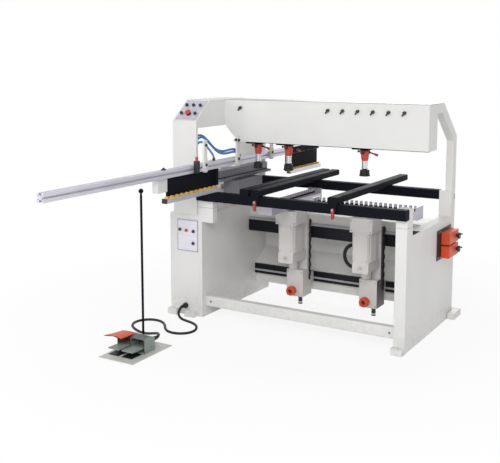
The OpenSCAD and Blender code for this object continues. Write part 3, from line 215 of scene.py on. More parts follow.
def side_axes(axis):
    """Two unit vectors square to an axis and to each other."""
    helper = X if abs(axis[0]) < 0.9 else Z
    first = np.cross(helper, axis)
    first /= np.linalg.norm(first)
    return first, np.cross(axis, first)


def turned(profile, foot, axis, sides=32, lobes=0, depth=0.0):
    """Profile of (radius, height) pairs turned round an axis: foot + h axis + r (cos a, sin a),
    with r drawn in by depth (1 + cos(lobes a)) / 2 where the rim has grips."""
    profile = np.asarray(profile, float)
    axis = np.asarray(axis, float) / np.linalg.norm(axis)
    first, second = side_axes(axis)
    a = np.arange(sides) * (2.0 * math.pi / sides)
    spokes = np.cos(a)[:, None] * first + np.sin(a)[:, None] * second
    draw = 1.0 - depth * (1.0 + np.cos(lobes * a)) / 2 if lobes else np.ones(sides)
    points = (np.asarray(foot, float) + profile[:, 1, None, None] * axis
              + (profile[:, 0, None] * draw)[:, :, None] * spokes)
    return points.reshape(-1, 3), grid_quads(len(profile), sides, True)


def block(low, high, radius, axis=2, corner=None, steps=5):
    """Box with round edges: on each level along the axis the outline is the corner's centre +
    (corner - draw) (cos a, sin a), and draw follows a quarter circle of radius at both ends."""
    low, high = np.asarray(low, float), np.asarray(high, float)
    u, v = (axis + 1) % 3, (axis + 2) % 3
    half = (high - low) / 2
    corner = radius if corner is None else corner
    a = np.linspace(0.0, math.pi / 2, steps)
    draw = np.concatenate([radius * (1 - np.sin(a)), radius * (1 - np.sin(a[::-1]))])
    rise = radius * (1 - np.cos(a)) - half[axis]
    rise = np.concatenate([rise, -rise[::-1]])
    turn = (np.arange(4)[:, None] * (math.pi / 2) + a).ravel()
    points = np.zeros((len(rise) + 2, len(turn), 3))
    reach = (corner - draw)[:, None]
    points[1:-1, :, u] = np.repeat([1, -1, -1, 1], steps) * (half[u] - corner) + reach * np.cos(turn)
    points[1:-1, :, v] = np.repeat([1, 1, -1, -1], steps) * (half[v] - corner) + reach * np.sin(turn)
    points[:, :, axis] = np.concatenate([rise[:1], rise, rise[-1:]])[:, None]
    return (points + (low + high) / 2).reshape(-1, 3), grid_quads(len(rise) + 2, len(turn), True)


def route_spans(route):
    """The four nearest points of each span of a route, its ends carried on straight, and steps t."""
    p = np.asarray(route, float)
    padded = np.concatenate([[2 * p[0] - p[1]], p, [2 * p[-1] - p[-2]]])
    steps_per_span = 8
    t = (np.arange(steps_per_span) / steps_per_span)[None, :, None]
    return [q[:, None] for q in (padded[:-3], padded[1:-2], padded[2:-1], padded[3:])] + [t]


def closed_off(curve, route):
    """Spans of a curve as one path that ends at the route's last point."""
    return np.concatenate([curve.reshape(-1, 3), np.asarray(route[-1:], float)])


def smooth_path(route):
    """Curve through the route's points: each span is the cubic whose end slopes are half the
    step between its neighbours."""
    a, b, c, d, t = route_spans(route)
    return closed_off(0.5 * (2 * b + (c - a) * t + (2 * a - 5 * b + 4 * c - d) * t ** 2
                             + (3 * b - a - 3 * c + d) * t ** 3), route)


def eased_path(route):
    """Curve drawn by the route's points from end to end: each span is the uniform cubic B-spline
    of its four nearest points, which rounds a bend a little inside them."""
    a, b, c, d, t = route_spans(route)
    return closed_off(((1 - t) ** 3 * a + (3 * t ** 3 - 6 * t ** 2 + 4) * b
                       + (-3 * t ** 3 + 3 * t ** 2 + 3 * t + 1) * c + t ** 3 * d) / 6, route)


def cross_axes(path, lead):
    """Unit vectors side and up at each point of a path: square to the path, with side square to lead."""
    way = np.gradient(path, axis=0)
    way /= np.linalg.norm(way, axis=1, keepdims=True)
    side = np.cross(way, np.asarray(lead, float))
    side /= np.linalg.norm(side, axis=1, keepdims=True)
    return side, np.cross(side, way)


def strand(path, lead, reach, degrees, turns):
    """Line of one tube in a bundle: path + reach (cos a side + sin a up), a growing evenly by turns."""
    side, up = cross_axes(path, lead)
    a = math.radians(degrees) + np.linspace(0.0, 2 * math.pi * turns, len(path))[:, None]
    return path + reach * (np.cos(a) * side + np.sin(a) * up)


def hose(path, radius, lead, sides=20):
    """Round tube along a path: path + r (cos a side + sin a up), with side square to the path
    and to lead; radius may change along the path, and both ends are closed."""
    line, side, up = (np.pad(v, ((1, 1), (0, 0)), "edge") for v in (path, *cross_axes(path, lead)))
    r = np.pad(np.broadcast_to(radius, len(path)), 1)
    a = np.arange(sides) * (2.0 * math.pi / sides)
    points = (line[:, None] + r[:, None, None] * (np.cos(a)[None, :, None] * side[:, None]
              + np.sin(a)[None, :, None] * up[:, None]))
    return points.reshape(-1, 3), grid_quads(len(line), sides, True)


def piece(name, shape, body, material, sharp=40.0, stands_for=None):
    """Makes the mesh at the origin, welds its seams, turns its faces out and lets it ride.
    The shape may be a list of shapes, and the mesh wears the given material."""
    points, quads = joined(*shape) if isinstance(shape, list) else shape
    mesh = bpy.data.meshes.new(name)
    mesh.from_pydata((points * 0.001).tolist(), [], quads.tolist())
    work = bmesh.new()
    work.from_mesh(mesh)
    bmesh.ops.remove_doubles(work, verts=work.verts, dist=2e-6)
    bmesh.ops.dissolve_degenerate(work, edges=work.edges, dist=1e-7)
    bmesh.ops.recalc_face_normals(work, faces=work.faces)
    work.to_mesh(mesh)
    work.free()
    mesh.shade_smooth()
    mesh.set_sharp_from_angle(angle=math.radians(sharp))
    mesh.materials.append(material)
    made = bpy.data.objects.new(name, mesh)
    made.modifiers.new("even_shading", "WEIGHTED_NORMAL").keep_sharp = True
    scene.collection.objects.link(made)
    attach(made, body)
    if stands_for:
        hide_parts(stands_for)
    return made


# Shader groups shared by the finishes

def shader_group(name, outputs, **inputs):
    """Node group with named sockets, and the sockets of its inputs. The kind of an input follows
    from the length of its value."""
    tree = bpy.data.node_groups.new(name, "ShaderNodeTree")
    kinds = {1: "NodeSocketFloat", 3: "NodeSocketVector", 4: "NodeSocketColor"}
    for label, value in inputs.items():
        socket = tree.interface.new_socket(label.replace("_", " "), in_out="INPUT",
                                           socket_type=kinds[np.size(value)])
        socket.default_value = value
    for label, kind in outputs:
        tree.interface.new_socket(label, in_out="OUTPUT", socket_type="NodeSocket" + kind)
    return tree, tree.nodes.new("NodeGroupInput").outputs


def noise(tree, place, scale, detail, roughness):
    """Grey value of a noise over a place."""
    return put(tree, "TexNoise", Vector=place, Scale=scale, Detail=detail,
               Roughness=roughness).outputs["Fac"]


def drift(tree, grey, low, high):
    """Middle of a noise's range spread from low to high."""
    return ranged(tree, grey, 0.3, 0.7, low, high)


def scaled(tree, colour, factor):
    """Colour times a factor."""
    return put(tree, "VectorMath", {"operation": "SCALE"}, _0=colour, Scale=factor).outputs[0]


def mixed(tree, share, first, second):
    """Colour that goes from first to second as the share grows."""
    return put(tree, "Mix", {"data_type": "RGBA"}, _0=share, _6=first, _7=second).outputs[2]


def put_out(tree, **sockets):
    """Links results to a group's named outputs, and gives the group back."""
    out = tree.nodes.new("NodeGroupOutput")
    for name, socket in sockets.items():
        tree.links.new(socket, out.inputs[name])
    return tree


skin_outputs = [("Color", "Color"), ("Roughness", "Float"), ("Height", "Float")]


def edge_group():
    """Rounded normal near edges, and a mask where it leaves the flat normal, broken by noise."""
    tree, given = shader_group("rounded_edges", [("Normal", "Vector"), ("Edge", "Float")], Radius=0.002)
    bevel = put(tree, "Bevel", {"samples": 6}, Radius=given["Radius"]).outputs[0]
    flat = put(tree, "NewGeometry").outputs["Normal"]
    same = put(tree, "VectorMath", {"operation": "DOT_PRODUCT"}, _0=bevel, _1=flat).outputs["Value"]
    off = ranged(tree, same, 0.995, 0.80, 0.0, 1.0)
    patchy = noise(tree, put(tree, "TexCoord").outputs["Object"], 55.0, 5.0, 0.65)
    keep = ranged(tree, patchy, 0.42, 0.62, 0.15, 1.0)
    return put_out(tree, Normal=bevel, Edge=combined(tree, "MULTIPLY", off, keep))


def enamel_group():
    """Sprayed paint: slow colour drift, dust low down, lighter or darker edges, orange-peel height."""
    tree, given = shader_group(
        "sprayed_enamel", skin_outputs, Color=(0.8, 0.8, 0.8, 1), Edge_Color=(0.5, 0.5, 0.5, 1),
        Edge=0.0, Edge_Wear=0.4, Dust=0.3, Gloss=0.35)
    place = put(tree, "TexCoord").outputs["Object"]
    toned = scaled(tree, given["Color"], drift(tree, noise(tree, place, 2.3, 4.0, 0.55), 0.955, 1.035))
    low = ranged(tree, put(tree, "SeparateXYZ", Vector=place).outputs["Z"], 0.0, 0.22, 1.0, 0.0)
    specks = ranged(tree, noise(tree, place, 38.0, 7.0, 0.7), 0.45, 0.72, 0.0, 1.0)
    dust = combined(tree, "MULTIPLY", combined(tree, "MULTIPLY", low, specks), given["Dust"])
    dust_colour = (0.36, 0.33, 0.29, 1.0)
    dirty = mixed(tree, dust, toned, dust_colour)
    worn = combined(tree, "MULTIPLY", given["Edge"], given["Edge Wear"])
    smear = drift(tree, noise(tree, place, 9.0, 6.0, 0.6), -0.05, 0.08)
    gloss = combined(tree, "ADD", smear, given["Gloss"])
    return put_out(tree, Color=mixed(tree, worn, dirty, given["Edge Color"]),
                   Roughness=combined(tree, "MULTIPLY_ADD", dust, 0.35, gloss),
                   Height=noise(tree, place, 420.0, 2.0, 0.4))


def streak_group():
    """Machined or drawn metal: noise stretched along one way gives streaks of tone and height."""
    tree, given = shader_group("drawn_metal", skin_outputs, Color=(0.6, 0.6, 0.6, 1),
                               Stretch=(400.0, 6.0, 400.0), Gloss=0.32, Edge=0.0)
    place = put(tree, "TexCoord").outputs["Object"]
    pulled = put(tree, "VectorMath", {"operation": "MULTIPLY"}, _0=place, _1=given["Stretch"]).outputs[0]
    lines = noise(tree, pulled, 1.0, 5.0, 0.6)
    stain = drift(tree, noise(tree, place, 6.0, 5.0, 0.6), 0.94, 1.04)
    tone = combined(tree, "MULTIPLY", drift(tree, lines, 0.90, 1.06), stain)
    bright = combined(tree, "MULTIPLY", given["Edge"], 0.35)
    rubbed_edge = (0.85, 0.85, 0.87, 1.0)
    colour = mixed(tree, bright, scaled(tree, given["Color"], tone), rubbed_edge)
    gloss = combined(tree, "ADD", drift(tree, lines, -0.07, 0.09), given["Gloss"])
    return put_out(tree, Color=colour, Roughness=gloss, Height=lines)


def moulding_group():
    """Moulded plastic or rubber: faint tone drift, handling marks in the gloss, fine grain height."""
    tree, given = shader_group("moulded_skin", skin_outputs, Color=(0.1, 0.1, 0.1, 1), Edge=0.0,
                               Gloss=0.4, Grain=900.0)
    place = put(tree, "TexCoord").outputs["Object"]
    toned = scaled(tree, given["Color"], drift(tree, noise(tree, place, 14.0, 5.0, 0.6), 0.88, 1.10))
    pale = put(tree, "VectorMath", {"operation": "MULTIPLY_ADD"}, _0=given["Color"],
               _1=(0.85, 0.85, 0.85), _2=(0.10, 0.10, 0.10)).outputs[0]
    scuff = combined(tree, "MULTIPLY", given["Edge"], 0.5)
    marks = drift(tree, noise(tree, place, 60.0, 6.0, 0.65), -0.08, 0.10)
    return put_out(tree, Color=mixed(tree, scuff, toned, pale),
                   Roughness=combined(tree, "ADD", marks, given["Gloss"]),
                   Height=noise(tree, place, given["Grain"], 3.0, 0.5))


rounded_edges = edge_group()
sprayed_enamel = enamel_group()
drawn_metal = streak_group()
moulded_skin = moulding_group()


# Finishes

def inside(tree, bounds):
    """Mask of a box in Object coordinates: 1 where every named axis lies between its two bounds."""
    place = put(tree, "SeparateXYZ", Vector=put(tree, "TexCoord").outputs["Object"])
    mask = None
    for axis, limits in bounds.items():
        for limit, kind in zip(limits, ("GREATER_THAN", "LESS_THAN")):
            if limit is None:
                continue
            test = combined(tree, kind, place.outputs[axis], limit)
            mask = test if mask is None else combined(tree, "MULTIPLY", mask, test)
    return mask


def finish(name, group, edge_radius, bump, metallic=0.0, coat=0.0, specular=0.5, slot=None, areas=(),
           wearers=(), **values):
    """Material from one skin group: rounded normals, bump from its height, constants on the shader.
    The slot is not used. An area is another colour inside bounds of Object coordinates, and the wearers are
    CAD nodes."""
    material = bpy.data.materials.new(name)
    tree = emptied(material)
    edges = put(tree, "Group", {"node_tree": rounded_edges}, Radius=edge_radius)
    for tint, bounds in areas:
        values["Color"] = mixed(tree, inside(tree, bounds), values["Color"], tint)
    skin = put(tree, "Group", {"node_tree": group}, Edge=edges.outputs["Edge"], **values)
    relief = put(tree, "Bump", Strength=bump, Distance=0.0006, Height=skin.outputs["Height"],
                 Normal=edges.outputs["Normal"])
    shader = put(tree, "BsdfPrincipled", Base_Color=skin.outputs["Color"],
                 Roughness=skin.outputs["Roughness"], Normal=relief.outputs[0], Metallic=metallic,
                 Coat_Weight=coat, Specular_IOR_Level=specular, Coat_Roughness=0.2)
    put(tree, "OutputMaterial", Surface=shader.outputs[0])
    for node in wearers:
        slots = nodes[node].data.materials
        slots.clear()
        slots.append(material)
    return material


def rgb(r, g, b):
    """Opaque colour from three linear shares."""
    return (r, g, b, 1.0)


white = rgb(0.80, 0.795, 0.775)
# Paint of the units and castings: the white enamel made warmer and darker, partly its own warmer tone and
# partly painted shade for parts standing in shadow inside the frame.
shaded_white_paint = rgb(0.70, 0.675, 0.655)
slate_black = rgb(0.0080, 0.0088, 0.0130)
lavender = rgb(0.74, 0.725, 0.80)
signal_orange = rgb(0.74, 0.092, 0.036)
signal_red = rgb(0.58, 0.030, 0.032)
hose_blue = rgb(0.085, 0.23, 0.56)
wheel_yellow = rgb(0.86, 0.52, 0.12)
pedal_green = rgb(0.235, 0.28, 0.255)
soot = rgb(0.012, 0.012, 0.013)

sheet_enamel = dict(coat=0.12, Edge_Color=rgb(0.90, 0.90, 0.89), Edge_Wear=0.35, Dust=0.35, Gloss=0.40)
cast_enamel = dict(coat=0.08, Edge_Color=rgb(0.86, 0.84, 0.82), Edge_Wear=0.45)
hammer_paint = dict(coat=0.15, Edge_Color=rgb(0.48, 0.53, 0.50), Edge_Wear=0.6, Dust=0.2, Gloss=0.38)
orange_skin = dict(specular=0.3, Gloss=0.36, Grain=800.0)
machined = dict(metallic=0.55, Color=rgb(0.52, 0.50, 0.57), Gloss=0.42)

enamel_white = finish(
    "white_enamel", sprayed_enamel, 0.003, 0.12, slot="white_paint", Color=white, **sheet_enamel,
    wearers=["left_covers", "machine_feet", "left_portal", "arch_tube", "tie_rail", "rear_girder"])
enamel_casting = finish(
    "casting_enamel", sprayed_enamel, 0.004, 0.30, slot="white_paint", Color=shaded_white_paint, Dust=0.5,
    Gloss=0.46, **cast_enamel)
enamel_black = finish(
    "black_enamel", sprayed_enamel, 0.004, 0.16, specular=0.05, slot="black_paint", Color=slate_black,
    Edge_Color=rgb(0.030, 0.032, 0.040), Edge_Wear=0.8, Dust=0.05, Gloss=0.56,
    wearers=["front_table_rail", "rear_table_rail", "side_bar", "table_arm_1", "table_arm_2",
             "clamp_rail", "fence_skirts", "pedal_rod"])
bright_steel = finish(
    "bright_steel", drawn_metal, 0.0008, 0.08, metallic=1.0, slot="bright_metal",
    Color=rgb(0.74, 0.73, 0.74), Stretch=(90.0, 90.0, 900.0), Gloss=0.26)
moulded_orange = finish(
    "moulded_orange", moulded_skin, 0.0025, 0.14, slot="orange_plastic", Color=signal_orange,
    **orange_skin)
moulded_red = finish(
    "moulded_red", moulded_skin, 0.002, 0.08, coat=0.35, slot="red_plastic", Color=signal_red,
    Gloss=0.26, Grain=700.0)
enamel_red = finish(
    "red_enamel", sprayed_enamel, 0.002, 0.16, coat=0.25, slot="red_paint",
    Color=rgb(0.55, 0.055, 0.035), Edge_Color=rgb(0.70, 0.24, 0.16), Edge_Wear=0.6, Dust=0.0, Gloss=0.32)
grip_red = finish(
    "grip_red", moulded_skin, 0.001, 0.12, slot="red_paint", Color=rgb(0.36, 0.050, 0.040), Gloss=0.45,
    Grain=800.0)
moulded_yellow = finish(
    "moulded_yellow", moulded_skin, 0.0015, 0.10, slot="yellow_plastic", Color=wheel_yellow, Gloss=0.42,
    Grain=900.0)
blue_tube = finish(
    "blue_tube", moulded_skin, 0.0005, 0.05, coat=0.3, slot="blue_hose", Color=hose_blue, Gloss=0.28,
    Grain=600.0)
black_rubber = finish(
    "black_rubber", moulded_skin, 0.0006, 0.20, specular=0.3, slot="black_rubber", Color=soot, Gloss=0.48,
    Grain=1100.0)
black_moulding = finish(
    "black_moulding", moulded_skin, 0.0015, 0.16, slot="black_plastic", Color=rgb(0.016, 0.016, 0.018),
    Gloss=0.38, Grain=1000.0, wearers=["cord_glands"])
hammer_green = finish(
    "hammer_green", sprayed_enamel, 0.0025, 0.55, slot="pedal_paint", Color=pedal_green, **hammer_paint)
chuck_steel = finish(
    "chuck_steel", drawn_metal, 0.0006, 0.08, metallic=1.0, slot="bright_metal",
    Color=rgb(0.40, 0.39, 0.42), Stretch=(90.0, 90.0, 900.0), Gloss=0.30)
zinc_screw = finish(
    "zinc_screw", drawn_metal, 0.0004, 0.06, metallic=1.0, slot="bright_metal",
    Color=rgb(0.46, 0.45, 0.46), Stretch=(500.0, 500.0, 500.0), Gloss=0.34)


# Finishes made for single CAD nodes

finish("drawn_fence", drawn_metal, 0.0012, 0.10, metallic=0.5, Color=lavender,
       Stretch=(420.0, 5.0, 420.0), Gloss=0.36, wearers=["fence_extrusion", "wheel_channels"])
finish("machined_along_x", drawn_metal, 0.002, 0.14, Stretch=(8.0, 300.0, 300.0), **machined,
       wearers=["head_2"])
finish("machined_along_y", drawn_metal, 0.002, 0.14, Stretch=(300.0, 8.0, 300.0), **machined,
       wearers=["head_1"])
# Painted shade: the beam's top face, above z 1.388 m, is painted darker grey for a top lit less than its
# front.
finish("beam_enamel", sprayed_enamel, 0.003, 0.12, **sheet_enamel, Color=white,
       areas=[(rgb(0.50, 0.50, 0.51), dict(Z=(1.3880, None)))], wearers=["top_beam"])
stand_paint = finish(
    "stand_enamel", sprayed_enamel, 0.003, 0.12, slot="white_paint", **sheet_enamel, Color=white,
    areas=[(rgb(0.34, 0.34, 0.33), dict(Y=(None, -0.344), Z=(0.7190, 0.7212))),
           (slate_black, dict(Y=(-0.410, -0.340), Z=(0.8255, None))),
           (soot, dict(X=(0.8045, None), Y=(0.418, 0.430), Z=(0.7660, 0.8020)))],
    wearers=["left_cabinet", "right_cabinet"])
rail_band = rgb(0.42, 0.42, 0.44)
finish("guide_enamel", sprayed_enamel, 0.003, 0.16, specular=0.2, Edge_Color=rgb(0.16, 0.16, 0.17),
       Edge_Wear=0.6, Dust=0.05, Gloss=0.45, Color=slate_black,
       areas=[(rail_band, dict(Z=(0.168, 0.181))), (rail_band, dict(Z=(0.550, 0.567)))],
       wearers=["guide_rails"])
finish("fitting_enamel", sprayed_enamel, 0.003, 0.40, coat=0.12, Edge_Color=rgb(0.88, 0.88, 0.87),
       Edge_Wear=0.35, Dust=0.0, Gloss=0.42, Color=rgb(0.74, 0.74, 0.73),
       areas=[(soot, dict(X=(None, -0.5302), Y=(None, -0.60))),
              (soot, dict(X=(-0.4735, None), Y=(-0.66, -0.61), Z=(0.95, 1.0442))),
              (signal_red, dict(X=(-0.4735, None), Y=(-0.66, -0.61), Z=(1.0442, None)))],
       wearers=["fence_fittings"])
finish("control_plate_sheet", drawn_metal, 0.001, 0.05, metallic=0.1, Stretch=(8.0, 250.0, 250.0),
       Gloss=0.42, Color=rgb(0.40, 0.40, 0.45),
       areas=[(rgb(0.84, 0.83, 0.90), dict(X=(-0.7455, -0.5975), Z=(0.4300, 0.6255))),
              (rgb(0.66, 0.65, 0.73), dict(Z=(1.20, None))),
              (rgb(0.70, 0.56, 0.58), dict(Z=(1.20, 1.2825)))],
       wearers=["control_plates"])
# Painted shade: the base's front faces, below y -1.184 m, are painted near-black for the shadow inside the
# box's opening.
finish("pedal_hammer", sprayed_enamel, 0.0025, 0.55, **hammer_paint, Color=pedal_green,
       areas=[(rgb(0.66, 0.66, 0.63), dict(Z=(None, 0.0043))),
              (rgb(0.055, 0.060, 0.060), dict(Y=(None, -1.1840), Z=(0.0043, None))),
              (rgb(0.095, 0.105, 0.115), dict(X=(None, -0.4496), Z=(0.0600, None)))],
       wearers=["pedal_base"])
finish("base_enamel", sprayed_enamel, 0.003, 0.25, Dust=0.0, Gloss=0.44, **cast_enamel,
       Color=shaded_white_paint, areas=[(rgb(0.20, 0.195, 0.21), dict(X=(-0.562, None)))],
       wearers=["horizontal_base"])
finish("unit_metal", drawn_metal, 0.002, 0.14, metallic=0.5, Stretch=(300.0, 8.0, 300.0), Gloss=0.42,
       Color=rgb(0.23, 0.225, 0.25), areas=[(shaded_white_paint, dict(X=(None, -0.5855)))],
       wearers=["horizontal_head"])
finish("counter_moulding", moulded_skin, 0.0025, 0.14, **orange_skin, Color=signal_orange,
       areas=[(soot, dict(X=(None, 0.8112)))], wearers=["counter_boxes"])
saddle_areas = [(soot, dict(Z=(None, 0.0868))),
                (rgb(0.84, 0.83, 0.81), dict(Y=(None, 0.0945), Z=(0.2672, 0.3205)))]
# Painted shade: saddle 2's right flank, beyond x 0.4446 m, is painted near-black for the shadow the right
# cabinet casts on it.
painted_flank_shade = (rgb(0.13, 0.12, 0.13), dict(X=(0.4446, None)))
for unit, areas in (("1", saddle_areas), ("2", saddle_areas + [painted_flank_shade])):
    finish("saddle_casting_" + unit, sprayed_enamel, 0.004, 0.30, Dust=0.3, Gloss=0.46, **cast_enamel,
           Color=shaded_white_paint, areas=areas, wearers=["saddle_" + unit])
finish("column_casting", sprayed_enamel, 0.004, 0.30, Dust=0.0, Gloss=0.46, **cast_enamel,
       Color=shaded_white_paint, areas=[(rgb(0.52, 0.52, 0.53), dict(Z=(None, 0.3366)))],
       wearers=["column_1", "column_2"])


# Small shapes used many times

def span(node):
    """Lowest and highest corner of a CAD node, in millimetres."""
    low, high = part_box(node)
    return 1000.0 * np.asarray(low, float), 1000.0 * np.asarray(high, float)


def pin(foot, axis, diameter, length, edge=0.6, sides=28):
    """Round bar with chamfered ends."""
    r = diameter / 2
    return turned([(0, 0), (r - edge, 0), (r, edge), (r, length - edge), (r - edge, length), (0, length)],
                  foot, axis, sides)


def ring(foot, axis, outer, inner, length, edge=0.5, sides=32):
    """Round collar with chamfered rims and an open middle."""
    ro, ri = outer / 2, inner / 2
    return turned([(ri, 0), (ro - edge, 0), (ro, edge), (ro, length - edge), (ro - edge, length),
                   (ri, length), (ri, 0)], foot, axis, sides)


def cap_screw(foot, axis, diameter, sunk=0.0):
    """Socket screw: turned head with a rounded rim and a sunk socket, standing on its foot."""
    r, rim, socket = diameter / 2, 0.1 * diameter, 0.3 * diameter
    h = 0.62 * diameter - sunk
    return turned([(0, -1), (r, -1), (r, h - rim), (r - rim, h), (socket, h), (0.9 * socket, h - socket),
                   (0, h - socket)], foot, axis, 20)


def screw_grid(xs, ys, zs, axis, diameter, sunk):
    """Cap screws at every crossing of three lists of coordinates."""
    return [cap_screw((x, y, z), axis, diameter, sunk) for x in xs for y in ys for z in zs]


def hex_nut(foot, axis, across, length):
    """Six-sided nut with chamfered ends."""
    r = across / math.sqrt(3)
    return turned([(0, 0), (r * 0.9, 0), (r, 0.12 * length), (r, 0.88 * length), (r * 0.9, length),
                   (0, length)], foot, axis, 6)


def dome(foot, axis, diameter, stem, rise, sides=32):
    """Button: straight stem, then a crown whose height follows a quarter circle."""
    r = diameter / 2
    a = np.linspace(0.0, math.pi / 2, 7)
    crown = np.stack([0.35 * r + 0.65 * r * np.cos(a), stem + rise * np.sin(a)], axis=-1)
    return turned(np.concatenate([[(0, 0), (r, 0)], crown, [(0, stem + rise)]]), foot, axis, sides)


def row(shape, step, count):
    """The shape repeated count times, each a step further."""
    return repeated(shape, np.arange(count)[:, None] * np.asarray(step, float))


def spun(shape, pivot, axis, degrees):
    """Shape turned about an axis k through a point: p cos a + (k x p) sin a + k (k p) (1 - cos a)."""
    points, quads = shape
    p, k = points - np.asarray(pivot, float), np.asarray(axis, float)
    c, s = math.cos(math.radians(degrees)), math.sin(math.radians(degrees))
    return p * c + np.cross(k, p) * s + (p @ k)[:, None] * k * (1 - c) + pivot, quads


# Cords and hoses

cord_route = [
    (-690, -457, 62), (-690, -482, 62), (-689, -508, 52), (-680, -534, 36), (-658, -554, 20),
    (-624, -566, 11), (-580, -576, 9), (-532, -592, 9), (-488, -620, 9), (-456, -660, 9),
    (-438, -706, 9), (-444, -756, 9), (-478, -794, 9), (-526, -808, 9), (-576, -796, 9),
    (-618, -762, 9), (-656, -716, 9), (-702, -676, 9), (-758, -658, 9), (-812, -672, 9),
    (-848, -716, 9), (-852, -770, 9), (-826, -822, 9), (-778, -862, 9), (-722, -890, 9),
    (-668, -912, 14), (-614, -930, 25), (-564, -948, 40), (-518, -972, 54), (-486, -1004, 60),
    (-471, -1036, 60), (-471, -1056, 60)]
air_line_routes = [
    [(-640, -427, 1146), (-640, -412, 1146), (-634, -388, 1166), (-622, -362, 1176), (-608, -334, 1160),
     (-596, -306, 1128), (-584, -276, 1094), (-570, -242, 1066), (-552, -206, 1056), (-534, -170, 1062),
     (-516, -138, 1070), (-502, -112, 1062), (-498, -100, 1042), (-498, -100, 1018)],
    [(-624, -427, 1136), (-624, -412, 1136), (-618, -388, 1154), (-606, -362, 1164), (-592, -334, 1148),
     (-580, -306, 1115), (-568, -276, 1080), (-554, -244, 1052), (-537, -210, 1042), (-518, -176, 1047),
     (-500, -144, 1054), (-486, -118, 1048), (-482, -106, 1036), (-482, -106, 1018)],
    [(-610, -427, 1122), (-610, -412, 1122), (-602, -394, 1132), (-588, -382, 1132), (-570, -376, 1116),
     (-550, -376, 1094), (-528, -380, 1074), (-508, -384, 1054), (-500, -386, 1038), (-500, -386, 1018)]]


def boot(path, reach, wide, narrow):
    """Tapered and ribbed sleeve round the first reach millimetres of a path: its line and radii."""
    along = np.concatenate([[0.0], np.cumsum(np.linalg.norm(np.diff(path, axis=0), axis=1))])
    part = path[along <= reach]
    part = part if len(part) > 3 else path[:4]
    t = np.linspace(0.0, 1.0, len(part))
    ribs, rib_depth = 5, 0.35
    return part, wide + (narrow - wide) * t + rib_depth * np.cos(2 * ribs * math.pi * t)


def free_cord(name, path, diameter, lead, body, material, node=None, **kind):
    """A cord along its path."""
    made = piece(name, hose(path, diameter / 2, lead), body, material, sharp=60.0,
                 stands_for=node)


pedal_cord_d = 16.0
cord_path = smooth_path(cord_route)
boots = [hose(part, radius, Z) for part, radius in (boot(cord_path, 42.0, 12.5, 8.5),
                                                    boot(cord_path[::-1], 34.0, 11.0, 8.5))]
cord_boots = piece("pedal_cord_boots", boots, "frame", black_rubber, sharp=60.0)
free_cord("pedal_cord_line", cord_path, pedal_cord_d, Z, "frame", black_rubber, "pedal_cord",
          with_pieces=[cord_boots])
air_tube_d = 6.6
bundle_reach = 4.7
bundle_turns = 0.12
nut_length = 9
hose_ends = []
for number, route in enumerate(air_line_routes, 1):
    bundle_path = eased_path(route)
    for letter, degrees in (("a", 45), ("b", 135), ("c", 225), ("d", 315)):
        tube_path = strand(bundle_path, X, bundle_reach, degrees, bundle_turns)
        node = "air_lines" if (number, letter) == (1, "a") else None
        free_cord("air_line_%d%s" % (number, letter), tube_path, air_tube_d, X, "frame", blue_tube, node)
    start, end = np.array(route[0], float), np.array(route[-1], float)
    hose_ends += [hex_nut(start, Y, 22, nut_length), ring(start + nut_length * Y, Y, 22, 16.2, 8),
                  hex_nut(end, Z, 15.4, nut_length), ring(end + nut_length * Z, Z, 18.2, 16.2, 8, 0.1)]
piece("air_line_fittings", hose_ends, "frame", black_moulding)

conduit_y, conduit_top, conduit_low = -40.0, 500.0, 359.0
conduit_middle, conduit_half = (conduit_top + conduit_low) / 2, (conduit_top - conduit_low) / 2
rib_count = 30
t = np.linspace(0.0, 1.0, 241)
conduit_arc = np.stack([316.0 + t - 62.0 * np.sin(math.pi * t), np.full(len(t), conduit_y),
                        conduit_middle + conduit_half * np.cos(math.pi * t)], axis=-1)
conduit_path = np.concatenate([[(330.0, conduit_y, conduit_top), (323.0, conduit_y, conduit_top)],
                               conduit_arc,
                               [(324.0, conduit_y, conduit_low), (331.0, conduit_y, conduit_low)]])
conduit_ribs = 11.0 + 0.9 * np.cos(np.linspace(0.0, rib_count * 2 * math.pi, len(conduit_path)))
conduit = piece("motor_conduit_line", hose(conduit_path, conduit_ribs, Y, 24), "column_2", black_rubber,
                sharp=60.0, stands_for="motor_conduit")
conduit_nuts = [hex_nut(end, -X, 31, nut_length) for end in (conduit_path[0], conduit_path[-1])]
piece("conduit_nuts", conduit_nuts, "column_2", black_moulding)


# Fence side

wheel_x, _, wheel_z = sum(span("skate_wheels")) / 2
wheel_half = [(0, -9), (4.6, -9), (5, -8.6), (5.4, -6), (12.6, -6), (13.4, -9.4), (15, -10), (17, -9.6),
              (18, -8)]
wheel_profile = wheel_half + [(r, -h) for r, h in wheel_half[::-1]]
wheel_step = (0, 50, 0)
wheels, axles = [], []
for y, count in ((-925.0, 11), (590.0, 10)):
    wheels.append(row(turned(wheel_profile, (wheel_x, y, wheel_z), X), wheel_step, count))
    axles.append(row(pin((wheel_x - 14, y, wheel_z), X, 6, 28, 0.4, 16), wheel_step, count))
piece("skate_wheel_rims", wheels, "frame", moulded_yellow, stands_for="skate_wheels")
piece("skate_wheel_axles", axles, "frame", bright_steel)

channel_low, channel_high = span("wheel_channels")
piece("channel_end_cap", block((channel_low[0] - 1, channel_low[1] - 3, channel_low[2] + 0.5),
                               (channel_high[0] + 1, channel_low[1] + 3, channel_high[2] + 1), 1.2),
      "frame", black_moulding)

